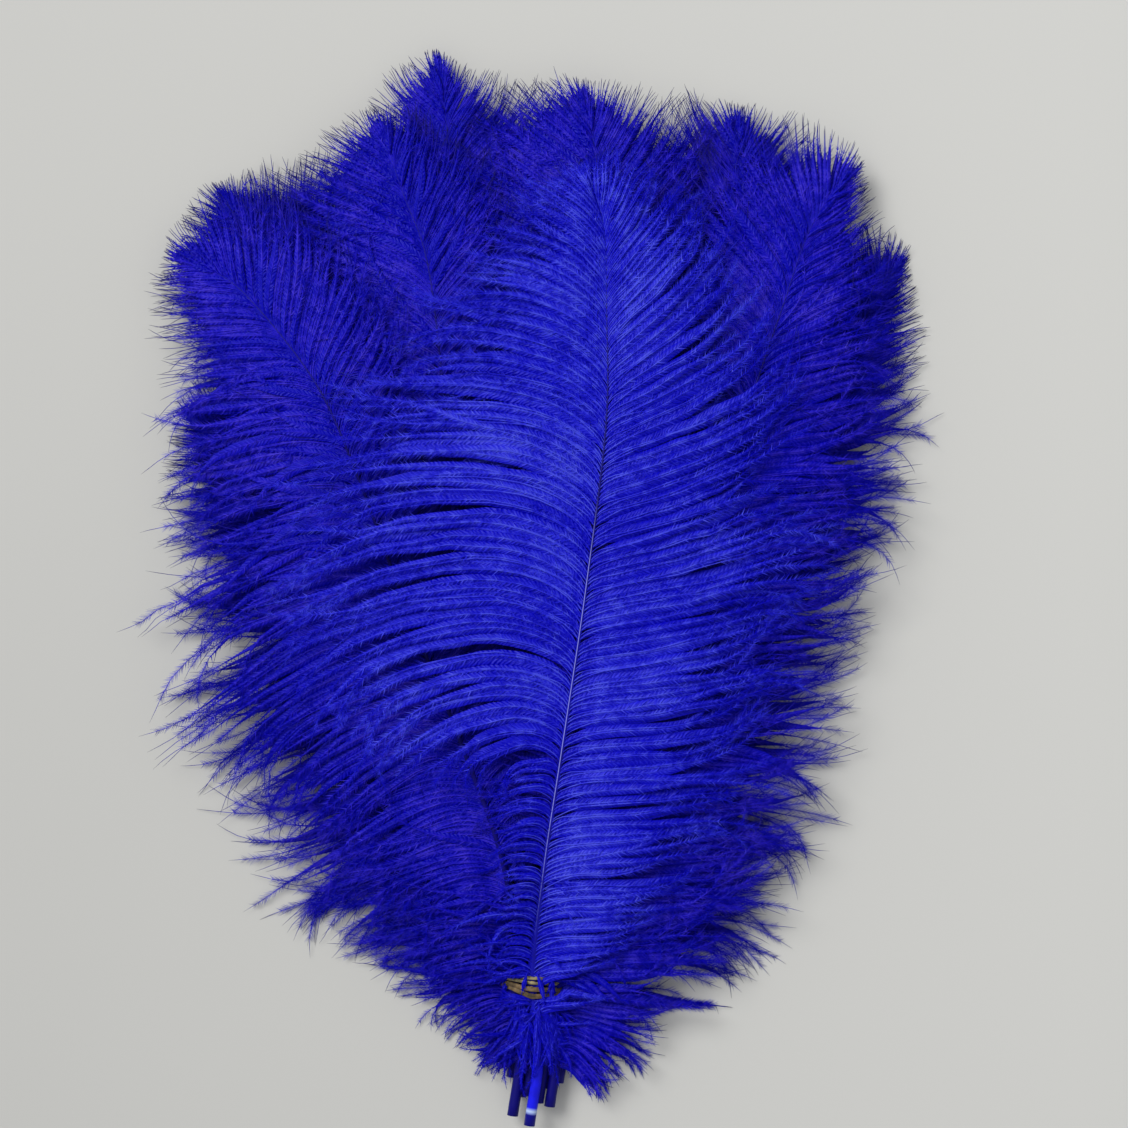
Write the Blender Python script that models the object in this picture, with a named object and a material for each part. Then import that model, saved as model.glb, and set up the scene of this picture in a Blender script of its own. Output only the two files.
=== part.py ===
"""A tied bundle of dyed ostrich plumes, lying flat.

Ten plumes fan out from a bundle of cut quills that two doubled rubber bands hold. +Y runs from the
quills to the tips, +Z is up, and the bundle rests on the undersides of the bands and of its lowest
vanes. Each plume grew as one piece, so it is one solid: a tapered shaft with a vane on each side,
whose outer part splits into pointed locks. Metres; the constants below are millimetres times MM.
"""

import math
import random
from typing import NamedTuple

import bmesh
import bpy
from mathutils import Vector

MM = 0.001
COLLECTION = "ostrich_feather_bundle"

# the tied quills
BUNDLE_X = -4.7 * MM
BAND_Y = -146.5 * MM
QUILL_PITCH = 4.3 * MM
ROW_RISE = QUILL_PITCH * math.sqrt(3) / 2
FIRST_ROW_Z = 3.2 * MM
BEND_AT = 24.0 * MM
BEND_X = 2.4 * MM
CUT_LEAN = 0.13
TIE_HALF = 5.6 * MM
TIE_CLEAR = 15.0 * MM
TIE_CLEAR_EASE = 30.0 * MM

# the pile of plumes: an ellipse in plan, highest in the middle
PILE_CENTRE = Vector((0.0, 15.0)) * MM
PILE_HALF = Vector((152.0, 190.0)) * MM
PILE_RIM_Z = 0.35 * MM
PILE_ARCH = 10.0 * MM
LAYER_PITCH = 2.4 * MM
LAYER_PITCH_RIM = 1.4 * MM
FAN_START = 5.0 * MM
FAN_END = 41.0 * MM

# shaft: radius against distance above the tie
SHAFT_AT = [d * MM for d in (-50, 0, 40, 110, 210, 300)]
SHAFT_RADIUS = [r * MM for r in (2.0, 1.85, 1.2, 0.9, 0.55, 0.28)]
SHAFT_SIDES = 8
BORE_SHARE = 0.6
BORE_DEPTH = 2.5 * MM
HEADING_STEP = 1.5 * MM
QUILL_RINGS_FROM = 28.0 * MM
QUILL_RINGS = 2

# barbs: how they turn away from the shaft, in degrees and in shares of their length
BARB_STEPS = 16
FLOW_AT = (0.0, 0.33, 0.66, 0.85, 1.0)
MIDDLE_BY = 0.45
END_FROM = 0.35
END_SPAN = 0.55
HOOK = 0.54
HOOK_REACH = 5.0 * MM
DROOP = 40.0
DROOP_REACH = 26.0 * MM
DROOP_BY = 0.25
VANE_REACH = 1.04

# vane: thickness at its inner row, at the notches and at the locks' middles
VANE_THICK = [t * MM for t in (0.62, 0.5, 0.42)]
ROWS = (0.3, 0.56)
LOCK_MIDDLE = 0.8
LOCK_WAIST = 0.2
LOCK_JITTER = 0.12
TIP_LEAN = (0.35, 0.65)
TOUCH = 0.001 * MM
SHARP_EDGE = math.radians(40)

# rubber bands
BAND_THICK = 1.0 * MM
BAND_WIDTH = 1.6 * MM
BAND_GAP = 0.35 * MM
BAND_TURN_PITCH = 2.1 * MM
BAND_HUMP = math.radians(75)
BAND_SWAP = math.radians(70)
CORNER_STEP = math.radians(20)
BAND_DIRECTIONS = 360

BLUE = (0.012, 0.010, 0.35)
PALE_RUBBER = (0.62, 0.47, 0.28)
BROWN_RUBBER = (0.40, 0.24, 0.09)
# name, middle along Y from the tie's middle, direction in which its turns cross, colour
BANDS = (
    ("upper_rubber_band", BAND_TURN_PITCH, math.radians(100), PALE_RUBBER),
    ("lower_rubber_band", -BAND_TURN_PITCH, math.radians(80), BROWN_RUBBER),
)


class Flow(NamedTuple):
    """Angles of the barbs from the shaft, in degrees, from the vane's foot to its tip."""

    leave: tuple
    middle: tuple
    end: tuple


class Plume(NamedTuple):
    """One feather: its place in the tie, its layer in the pile and the run of its shaft."""

    name: str
    place: float  # quills across, from the middle of the tie
    row: int  # row of quills in the tie, 0 lowest
    layer: int  # layer in the pile, 0 lowest
    quill_end: float  # mm, along Y
    shaft: tuple  # mm, points above the tie
    start: tuple  # mm from the tie where the left and right vanes begin
    left: tuple  # mm, barb lengths at the shares of the vane in spread
    right: tuple
    crest: float = 0.0  # mm that the middle of the barbs stands above the layer
    left_flow: Flow = Flow((78, 66, 56, 44, 30), (92, 88, 76, 52, 28), (98, 94, 76, 48, 22))
    right_flow: Flow = Flow((76, 64, 54, 44, 30), (84, 66, 56, 46, 28), (84, 58, 44, 34, 20))
    spread: tuple = (0.0, 0.25, 0.5, 0.8, 0.92, 1.0)
    lock: float = 19.0  # mm of shaft for each lock


FALL_LEFT = Flow((78, 68, 58, 44, 30), (92, 96, 84, 56, 30), (100, 108, 92, 58, 26))
FOOT_RIGHT = Flow((84, 66, 54, 44, 30), (94, 72, 60, 46, 28), (96, 62, 46, 34, 20))

PLUMES = (
    Plume("far_right_feather", 2, 0, 0, -182,
          ((8, -110), (26, -68), (54, -15), (86, 42), (106, 78), (121, 103), (127, 112)),
          (112, -30), (25, 45, 50, 50, 50, 32, 9), (22, 79, 89, 80, 50, 26, 9),
          right_flow=FOOT_RIGHT, spread=(0.0, 0.12, 0.25, 0.5, 0.8, 0.92, 1.0)),
    Plume("low_left_feather", -2, 0, 0, -180,
          ((-18, -110), (-36, -70), (-62, -22), (-85, 16), (-106, 42), (-126, 58)),
          (-28, 112), (22, 58, 80, 85, 86, 56, 28, 9), (25, 34, 42, 46, 45, 38, 24, 9),
          spread=(0.0, 0.12, 0.25, 0.42, 0.55, 0.8, 0.92, 1.0)),
    Plume("left_feather", -1, 0, 1, -187,
          ((-14, -100), (-27, -50), (-46, 0), (-68, 52), (-88, 94), (-105, 122), (-115, 137)),
          (48, 48), (52, 82, 78, 56, 32, 9), (50, 66, 66, 66, 31, 8)),
    Plume("right_feather", 1, 0, 2, -184,
          ((2, -100), (15, -50), (32, 0), (52, 60), (63, 110), (69.6, 146), (70, 163)),
          (48, 48), (50, 68, 68, 66, 40, 8), (60, 84, 78, 65, 34, 8)),
    Plume("tall_left_feather", 0, 0, 3, -185,
          ((-7, -100), (-12, -50), (-19, 0), (-27, 60), (-33, 110), (-35, 158), (-38, 184)),
          (48, 48), (56, 80, 70, 56, 31, 8), (56, 76, 70, 65, 26, 8)),
    Plume("second_feather", 0.5, 1, 4, -188.6,
          ((2, -100), (10, -50), (20, 0), (25, 60), (22, 110), (18, 154), (14.5, 171)),
          (48, 48), (60, 86, 82, 75, 43, 9), (60, 86, 86, 69, 32, 9)),
    Plume("bent_left_feather", -0.5, 1, 5, -186,
          ((-9, -100), (-16, -50), (-26, 0), (-35, 60), (-42.8, 117), (-51, 139), (-58, 160)),
          (48, 48), (56, 88, 82, 72, 38, 9), (56, 76, 62, 48, 32, 9)),
    Plume("far_left_feather", -1.5, 1, 6, -193.3,
          ((-14, -105), (-29, -60), (-51, -5), (-67, 38), (-81, 69), (-102, 96.5), (-114, 108), (-129, 115)),
          (-28, 48), (21, 62, 92, 112, 58, 36, 9), (44, 56, 58, 58, 58, 34, 8), left_flow=FALL_LEFT,
          spread=(0.0, 0.25, 0.4, 0.55, 0.8, 0.92, 1.0)),
    Plume("upper_right_feather", 1.5, 1, 7, -190,
          ((4, -110), (18, -65), (42, -10), (68, 50), (84, 95), (96, 127.8), (105, 141), (109, 145)),
          (48, -30), (44, 52, 58, 60, 71, 39, 8), (22, 80, 92, 84, 59, 30, 8),
          right_flow=FOOT_RIGHT, spread=(0.0, 0.12, 0.25, 0.5, 0.8, 0.92, 1.0)),
    Plume("main_feather", 0, 2, 8, -196.2,
          ((-0.4, -103.7), (6.1, -60.5), (14.8, -1.8), (22, 59), (22, 92), (20.9, 126), (16.2, 141)),
          (-12, -12), (14, 20, 26, 98, 130, 138, 134, 106, 74, 52, 34, 9),
          (28, 66, 96, 97, 98, 98, 94, 84, 66, 50, 34, 9), 4.0,
          Flow((78, 74, 58, 42, 30), (98, 116, 92, 60, 30), (122, 138, 108, 88, 32)),
          Flow((76, 78, 70, 50, 28), (82, 77, 60, 42, 26), (80, 62, 46, 34, 22)),
          (0.0, 0.16, 0.3, 0.35, 0.42, 0.5, 0.6, 0.7, 0.8, 0.88, 0.94, 1.0), 13.0),
)


def smooth(share):
    share = min(max(share, 0.0), 1.0)
    return share * share * (3 - 2 * share)


def ramp(at, places, values):
    """Straight-line reading of a short list of values."""
    if at <= places[0]:
        return values[0]
    for k in range(1, len(places)):
        if at <= places[k]:
            share = (at - places[k - 1]) / (places[k] - places[k - 1])
            return values[k - 1] + share * (values[k] - values[k - 1])
    return values[-1]


def clear_scene():
    for obj in list(bpy.data.objects):
        bpy.data.objects.remove(obj)


def make_collection():
    collection = bpy.data.collections.new(COLLECTION)
    bpy.context.scene.collection.children.link(collection)
    return collection


def make_material(name, colour, roughness):
    material = bpy.data.materials.new(name)
    material.use_nodes = True
    shader = material.node_tree.nodes["Principled BSDF"]
    shader.inputs["Base Color"].default_value = (*colour, 1.0)
    shader.inputs["Roughness"].default_value = roughness
    shader.inputs["Metallic"].default_value = 0.0
    material.diffuse_color = (*colour, 1.0)
    return material


def finish_object(name, build, material, collection):
    """Mesh object from a filled bmesh, shaded smooth with its hard edges kept."""
    bmesh.ops.recalc_face_normals(build, faces=build.faces)
    if build.calc_volume(signed=True) < 0:
        bmesh.ops.reverse_faces(build, faces=build.faces)
    mesh = bpy.data.meshes.new(name)
    build.to_mesh(mesh)
    build.free()
    mesh.materials.append(material)
    mesh.shade_smooth()
    mesh.set_sharp_from_angle(angle=SHARP_EDGE)
    obj = bpy.data.objects.new(name, mesh)
    collection.objects.link(obj)
    return obj


# --- the pile ---------------------------------------------------------------------------------


def row_height(row):
    return FIRST_ROW_Z + row * ROW_RISE


def pile_height(layer, x, y):
    """Height of a layer's middle surface well away from the tie."""
    across = (x - PILE_CENTRE.x) / PILE_HALF.x
    along = (y - PILE_CENTRE.y) / PILE_HALF.y
    rim = min(across * across + along * along, 1.0)
    pitch = LAYER_PITCH + (LAYER_PITCH_RIM - LAYER_PITCH) * rim
    return PILE_RIM_Z + PILE_ARCH * (1 - rim) + layer * pitch


def plume_height(plume, x, y):
    """From the quill's row in the tie, a plume rises or sinks to its own layer."""
    below = max(y - BAND_Y, 0.0)
    away = math.hypot(x - BUNDLE_X, below)
    share = smooth((away - FAN_START) / (FAN_END - FAN_START))
    return (1 - share) * row_height(plume.row) + share * pile_height(plume.layer, x, y)


# --- the shaft's line ----------------------------------------------------------------------------


def blend_points(first, second, at, start, end):
    share = (at - start) / (end - start)
    return first * (1 - share) + second * share


def curve_through(points, steps_per_span=24):
    """Centripetal Catmull-Rom curve through the given points."""
    points = [2 * points[0] - points[1], *points, 2 * points[-1] - points[-2]]
    knots = [0.0]
    for first, second in zip(points, points[1:]):
        knots.append(knots[-1] + math.sqrt((second - first).length))
    line = []
    for k in range(1, len(points) - 2):
        p0, p1, p2, p3 = points[k - 1:k + 3]
        t0, t1, t2, t3 = knots[k - 1:k + 3]
        for step in range(steps_per_span):
            t = t1 + (t2 - t1) * step / steps_per_span
            a1 = blend_points(p0, p1, t, t0, t1)
            a2 = blend_points(p1, p2, t, t1, t2)
            a3 = blend_points(p2, p3, t, t2, t3)
            b1 = blend_points(a1, a2, t, t0, t2)
            b2 = blend_points(a2, a3, t, t1, t3)
            line.append(blend_points(b1, b2, t, t1, t2))
    line.append(points[-2])
    return line


class ShaftLine:
    """The shaft in plan, read by its distance from the tie (below the tie is negative)."""

    def __init__(self, plume):
        x = BUNDLE_X + plume.place * QUILL_PITCH
        end = plume.quill_end * MM
        bend = BAND_Y - BEND_AT
        below = [Vector((x + BEND_X - CUT_LEAN * (bend - end), end)), Vector((x + BEND_X, bend))]
        above = [Vector(point) * MM for point in plume.shaft]
        self.line = curve_through([*below, Vector((x, BAND_Y)), *above])
        self.at = [0.0]
        for first, second in zip(self.line, self.line[1:]):
            self.at.append(self.at[-1] + (second - first).length)
        tie = BAND_Y - end
        self.at = [distance - tie for distance in self.at]

    def point(self, at):
        return Vector((ramp(at, self.at, [p.x for p in self.line]),
                       ramp(at, self.at, [p.y for p in self.line])))

    def heading(self, at):
        run = self.point(at + HEADING_STEP) - self.point(at - HEADING_STEP)
        return math.atan2(run.y, run.x)

    @property
    def start(self):
        return self.at[0]

    @property
    def end(self):
        return self.at[-1]


# --- barbs ------------------------------------------------------------------------------------


def clear_of_bands(point, at):
    """Barbs that leave the shaft above the tie stay above the bands, and those below it stay below."""
    way = math.copysign(1.0, at)
    opening = TIE_HALF * smooth((TIE_CLEAR + TIE_CLEAR_EASE - abs(point.x - BUNDLE_X)) / TIE_CLEAR_EASE)
    return Vector((point.x, BAND_Y + way * max(way * (point.y - BAND_Y), opening)))


def barb_point(plume, line, side, at, share, reach=1.0):
    """Point in plan at a share of the length of the barb that leaves the shaft at this distance."""
    start = plume.start[0 if side < 0 else 1] * MM
    along = (at - start) / (line.end - start)
    lengths = plume.left if side < 0 else plume.right
    flow = plume.left_flow if side < 0 else plume.right_flow
    length = ramp(along, plume.spread, lengths) * MM * reach * VANE_REACH
    leave, middle, end = (ramp(along, FLOW_AT, angles) for angles in flow)
    droop = DROOP * smooth(-at / DROOP_REACH)
    heading = line.heading(at)
    point = line.point(at)
    for k in range(max(1, round(BARB_STEPS * share))):
        t = (k + 0.5) / BARB_STEPS
        turn = leave + (middle - leave) * smooth(t / MIDDLE_BY)
        turn += (end - middle) * smooth((t - END_FROM) / END_SPAN)
        turn += droop * smooth(t / DROOP_BY) - HOOK * leave * math.exp(-t * length / HOOK_REACH)
        angle = heading - side * math.radians(turn)
        point = point + Vector((math.cos(angle), math.sin(angle))) * (length / BARB_STEPS)
    return clear_of_bands(point, at)


def on_layer(plume, point, share=0.0):
    """The point in space; a crested plume's barbs rise from the shaft and come down to their tips."""
    lift = plume.crest * MM * math.sin(math.pi * share)
    return Vector((point.x, point.y, plume_height(plume, point.x, point.y) + lift))


def barb_place(plume, line, side, at, share, reach=1.0):
    return on_layer(plume, barb_point(plume, line, side, at, share, reach), share)


def vertex_pair(build, place, thickness):
    """The vane's upper and lower vertex at one place."""
    half = Vector((0.0, 0.0, thickness / 2))
    return build.verts.new(place + half), build.verts.new(place - half)


def shaft_ring(build, plume, line, at):
    """An eight-sided section whose upright sides carry the vanes."""
    radius = ramp(at, SHAFT_AT, SHAFT_RADIUS)
    centre = on_layer(plume, line.point(at))
    heading = line.heading(at)
    right = Vector((math.sin(heading), -math.cos(heading), 0.0))
    ring = []
    for k in range(SHAFT_SIDES):
        angle = 2 * math.pi * (k + 0.5) / SHAFT_SIDES
        ring.append(build.verts.new(centre + right * radius * math.cos(angle)
                                    + Vector((0, 0, radius * math.sin(angle)))))
    return ring


def root_pair(ring, side):
    """The shaft's two vertices that a vane grows from: upper, lower."""
    half = SHAFT_SIDES // 2
    return (ring[half - 1], ring[half]) if side < 0 else (ring[0], ring[-1])


def close_cut_quill(build, ring):
    """The square-cut quill end, with the mouth of its hollow."""
    centre = sum((vertex.co for vertex in ring), Vector()) / len(ring)
    inward = Vector((0.0, BORE_DEPTH, 0.0))
    mouth = [build.verts.new(centre + (vertex.co - centre) * BORE_SHARE) for vertex in ring]
    floor = [build.verts.new(vertex.co + inward) for vertex in mouth]
    for k in range(len(ring)):
        after = (k + 1) % len(ring)
        build.faces.new((ring[k], ring[after], mouth[after], mouth[k]))
        build.faces.new((mouth[k], mouth[after], floor[after], floor[k]))
    build.faces.new(floor)


def vane_columns(build, plume, line, side, at, ring):
    """The pairs of vertices across the vane at one station, from the shaft to the notch."""
    pairs = [root_pair(ring, side)]
    for share, thickness in zip(ROWS, VANE_THICK):
        place = barb_place(plume, line, side, at, share)
        pairs.append(vertex_pair(build, place, thickness))
    return pairs


def skin(build, upper, lower):
    """Upper and lower faces through matching lists of corner pairs."""
    build.faces.new(upper)
    build.faces.new(tuple(reversed(lower)))


def make_lock(build, plume, line, side, span, columns, chance):
    """One lock between two stations, and the stretch of vane that it grows from."""
    first, second = columns
    for near, far in zip(zip(first, second), zip(first[1:], second[1:])):
        corners = (near[0], near[1], far[1], far[0])
        skin(build, [c[0] for c in corners], [c[1] for c in corners])
    reach = 1 + chance.uniform(-LOCK_JITTER, LOCK_JITTER)
    width = span[1] - span[0]
    middles = []
    for at in (span[0] + LOCK_WAIST * width, span[1] - LOCK_WAIST * width):
        place = barb_place(plume, line, side, at, LOCK_MIDDLE, reach)
        middles.append(vertex_pair(build, place, VANE_THICK[2]))
    lean = chance.uniform(*TIP_LEAN)
    tip = build.verts.new(barb_place(plume, line, side, span[0] + lean * width, 1.0, reach))
    notches = (first[-1], second[-1])
    corners = (notches[0], notches[1], middles[1], middles[0])
    skin(build, [c[0] for c in corners], [c[1] for c in corners])
    skin(build, (middles[0][0], middles[1][0], tip), (middles[0][1], middles[1][1], tip))
    for notch, middle in zip(notches, middles):
        build.faces.new((notch[0], middle[0], middle[1], notch[1]))
        build.faces.new((middle[0], tip, middle[1]))


def end_wall(build, columns):
    """Closes the vane where it starts or stops."""
    for near, far in zip(columns, columns[1:]):
        build.faces.new((near[0], far[0], far[1], near[1]))


def stations(plume, line):
    """Distances of the shaft's rings from the tie, one lock apart, with the tie itself left free."""
    first = min(min(plume.start) * MM, -QUILL_RINGS_FROM)
    below = [first + (-TIE_HALF - first) * k / QUILL_RINGS for k in range(QUILL_RINGS)]
    count = round((line.end - TIE_HALF) / (plume.lock * MM))
    above = [TIE_HALF + (line.end - TIE_HALF) * k / count for k in range(count + 1)]
    return [line.start, *below, -TIE_HALF, *above]


def has_vane(plume, side, span):
    start = plume.start[0 if side < 0 else 1] * MM
    over_tie = span[0] < 0 and span[1] > 0
    return span[0] >= start - TOUCH and not over_tie


def make_plume(plume, material, collection):
    build = bmesh.new()
    line = ShaftLine(plume)
    chance = random.Random(plume.name)
    at = stations(plume, line)
    rings = [shaft_ring(build, plume, line, place) for place in at]
    close_cut_quill(build, rings[0])
    build.faces.new(rings[-1])
    for side in (-1, 1):
        vanes = [has_vane(plume, side, span) for span in zip(at, at[1:])]
        columns = {}
        for k, vane in enumerate(vanes):
            if not vane:
                upper, lower = root_pair(rings[k], side), root_pair(rings[k + 1], side)
                build.faces.new((upper[0], lower[0], lower[1], upper[1]))
                continue
            for station in (k, k + 1):
                if station not in columns:
                    columns[station] = vane_columns(build, plume, line, side, at[station], rings[station])
            make_lock(build, plume, line, side, (at[k], at[k + 1]), (columns[k], columns[k + 1]), chance)
            if k == 0 or not vanes[k - 1]:
                end_wall(build, columns[k])
            if k + 1 == len(vanes) or not vanes[k + 1]:
                end_wall(build, columns[k + 1])
    for first, second in zip(rings, rings[1:]):
        for k in range(SHAFT_SIDES):
            if k in (SHAFT_SIDES // 2 - 1, SHAFT_SIDES - 1):
                continue
            build.faces.new((first[k], first[k + 1], second[k + 1], second[k]))
    return finish_object(plume.name, build, material, collection)


# --- rubber bands --------------------------------------------------------------------------------


def quill_centres():
    return [Vector((BUNDLE_X + plume.place * QUILL_PITCH, row_height(plume.row))) for plume in PLUMES]


def outer_corners():
    """The quills that a band bends round, in order, with the directions where each bend starts and ends."""
    centres = quill_centres()
    touched = []
    for k in range(BAND_DIRECTIONS):
        angle = 2 * math.pi * k / BAND_DIRECTIONS
        outward = Vector((math.cos(angle), math.sin(angle)))
        touched.append(max(range(len(centres)), key=lambda q: round(centres[q].dot(outward) / MM, 4)))
    corners = []
    start = next(k for k in range(BAND_DIRECTIONS) if touched[k] != touched[k - 1])
    for k in range(start, start + BAND_DIRECTIONS):
        angle = 2 * math.pi * k / BAND_DIRECTIONS
        quill = touched[k % BAND_DIRECTIONS]
        if not corners or corners[-1][0] != quill:
            corners.append([quill, angle, angle])
        corners[-1][2] = angle
    return [(centres[quill], first, last) for quill, first, last in corners]


def round_the_quills():
    """Places and outward directions of a band's inner face, once round the bundle in plan of X and Z."""
    reach = ramp(0.0, SHAFT_AT, SHAFT_RADIUS) + BAND_GAP
    path = []
    for centre, first, last in outer_corners():
        steps = max(2, round((last - first) / CORNER_STEP))
        for k in range(steps + 1):
            angle = first + (last - first) * k / steps
            outward = Vector((math.cos(angle), math.sin(angle)))
            path.append((centre + outward * reach, outward))
    return path


def make_rubber_band(name, middle_y, cross_at, material, collection):
    """A doubled band: two turns that pass over each other once, near the direction cross_at."""
    build = bmesh.new()

    def past_crossing(step):
        outward = step[1]
        return math.remainder(math.atan2(outward.y, outward.x) - cross_at, 2 * math.pi)

    once = sorted(round_the_quills(), key=past_crossing)
    count = len(once)
    rings = []
    for k in range(2 * count):
        place, outward = once[k % count]
        off = past_crossing(once[k % count])
        over = smooth(1 - abs(off) / BAND_HUMP) if k < count else 0.0
        swap = smooth(0.5 + off / BAND_SWAP)
        shift = (swap - 0.5) if k < count else (0.5 - swap)
        ring_y = middle_y + BAND_TURN_PITCH * shift
        rise = over * (BAND_THICK + BAND_GAP)
        ring = []
        for across, up in ((-0.5, 0.0), (0.5, 0.0), (0.5, 1.0), (-0.5, 1.0)):
            out = place + outward * (rise + up * BAND_THICK)
            ring.append(build.verts.new((out.x, ring_y + across * BAND_WIDTH, out.y)))
        rings.append(ring)
    for first, second in zip(rings, rings[1:] + rings[:1]):
        for k in range(4):
            build.faces.new((first[k], first[(k + 1) % 4], second[(k + 1) % 4], second[k]))
    return finish_object(name, build, material, collection)


def stand_on_origin(objects):
    """Moves everything so that the origin is under the middle of the bundle's box."""
    places = [vertex.co for obj in objects for vertex in obj.data.vertices]
    low = Vector([min(place[k] for place in places) for k in range(3)])
    high = Vector([max(place[k] for place in places) for k in range(3)])
    for obj in objects:
        obj.location = (-(low.x + high.x) / 2, -(low.y + high.y) / 2, -low.z)


def main():
    clear_scene()
    collection = make_collection()
    for plume in PLUMES:
        blue = make_material(plume.name + "_blue", BLUE, 0.55)
        make_plume(plume, blue, collection)
    for name, place, cross_at, colour in BANDS:
        rubber = make_material(name + "_rubber", colour, 0.5)
        make_rubber_band(name, BAND_Y + place, cross_at, rubber, collection)
    stand_on_origin(collection.objects)


main()
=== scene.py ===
"""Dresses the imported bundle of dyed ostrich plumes.

Every plume gets its shaft, its barbs in locks and the barbules that fringe them; the two rubber bands
get their worn strands; and the bundle lies on a pale table under soft light. Lengths are in metres.
"""

import math
from typing import NamedTuple

import bpy
import numpy as np
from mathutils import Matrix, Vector


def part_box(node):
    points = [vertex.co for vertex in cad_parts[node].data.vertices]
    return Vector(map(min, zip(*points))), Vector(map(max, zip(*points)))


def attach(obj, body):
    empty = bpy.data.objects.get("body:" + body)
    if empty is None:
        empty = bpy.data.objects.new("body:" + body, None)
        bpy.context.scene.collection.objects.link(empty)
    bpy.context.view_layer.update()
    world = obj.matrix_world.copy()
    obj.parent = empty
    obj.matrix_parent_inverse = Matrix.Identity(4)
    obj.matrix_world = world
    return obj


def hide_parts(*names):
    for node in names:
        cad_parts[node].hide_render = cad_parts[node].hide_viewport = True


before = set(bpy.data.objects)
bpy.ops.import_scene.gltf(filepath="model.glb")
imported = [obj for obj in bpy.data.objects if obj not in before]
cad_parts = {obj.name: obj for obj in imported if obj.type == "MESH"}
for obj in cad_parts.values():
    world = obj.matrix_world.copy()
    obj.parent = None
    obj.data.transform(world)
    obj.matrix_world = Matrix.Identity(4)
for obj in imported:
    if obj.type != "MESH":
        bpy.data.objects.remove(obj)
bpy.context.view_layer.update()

bl_info = {
    "name": "Ostrich Feather Bundle",
    "version": (1, 0, 0),
    "blender": (4, 5, 0),
    "location": "3D View > Sidebar > Feathers",
    "description": "Grows barbs and barbules on a tied bundle of plumes and sets it on a table",
    "category": "Add Mesh",
}

MM = 0.001
BODY = "root"
LEFT, RIGHT = -1, 1

# the tied quills, as the frame's solids have them
BUNDLE_X = -4.7 * MM
BAND_Y = -146.5 * MM
BAND_TURN_PITCH = 2.1 * MM
QUILL_PITCH = 4.3 * MM
ROW_RISE = QUILL_PITCH * math.sqrt(3) / 2
FIRST_ROW_Z = 3.2 * MM
BEND_AT = 24.0 * MM
BEND_X = 2.4 * MM
CUT_LEAN = 0.13

# the pile of plumes: an ellipse in plan, highest in the middle
PILE_CENTRE = (0.0, 15.0 * MM)
PILE_HALF = (152.0 * MM, 190.0 * MM)
PILE_RIM_Z = 0.35 * MM
PILE_ARCH = 10.0 * MM
LAYER_PITCH = 2.4 * MM
LAYER_PITCH_RIM = 1.4 * MM
FAN_START = 5.0 * MM
FAN_END = 41.0 * MM

# shaft: radius against distance above the tie
SHAFT_AT = [d * MM for d in (-50, 0, 40, 110, 210, 300)]
SHAFT_RADIUS = [r * MM for r in (2.0, 1.85, 1.2, 0.9, 0.55, 0.28)]
FLOOR_CLEAR = 0.15 * MM


class Flow(NamedTuple):
    """Angles of the barbs from the shaft, in degrees, from the vane's foot to its tip."""

    leave: tuple
    middle: tuple
    end: tuple


class Plume(NamedTuple):
    """One feather: its place in the tie, its layer in the pile and the run of its shaft, in mm."""

    name: str
    place: float
    row: int
    layer: int
    quill_end: float
    shaft: tuple
    start: tuple
    left: tuple
    right: tuple
    crest: float = 0.0
    left_flow: Flow = Flow((78, 66, 56, 44, 30), (92, 88, 76, 52, 28), (98, 94, 76, 48, 22))
    right_flow: Flow = Flow((76, 64, 54, 44, 30), (84, 66, 56, 46, 28), (84, 58, 44, 34, 20))
    spread: tuple = (0.0, 0.25, 0.5, 0.8, 0.92, 1.0)


FALL_LEFT = Flow((78, 68, 58, 44, 30), (92, 96, 84, 56, 30), (100, 108, 92, 58, 26))
FOOT_RIGHT = Flow((84, 66, 54, 44, 30), (94, 72, 60, 46, 28), (96, 62, 46, 34, 20))

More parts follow.
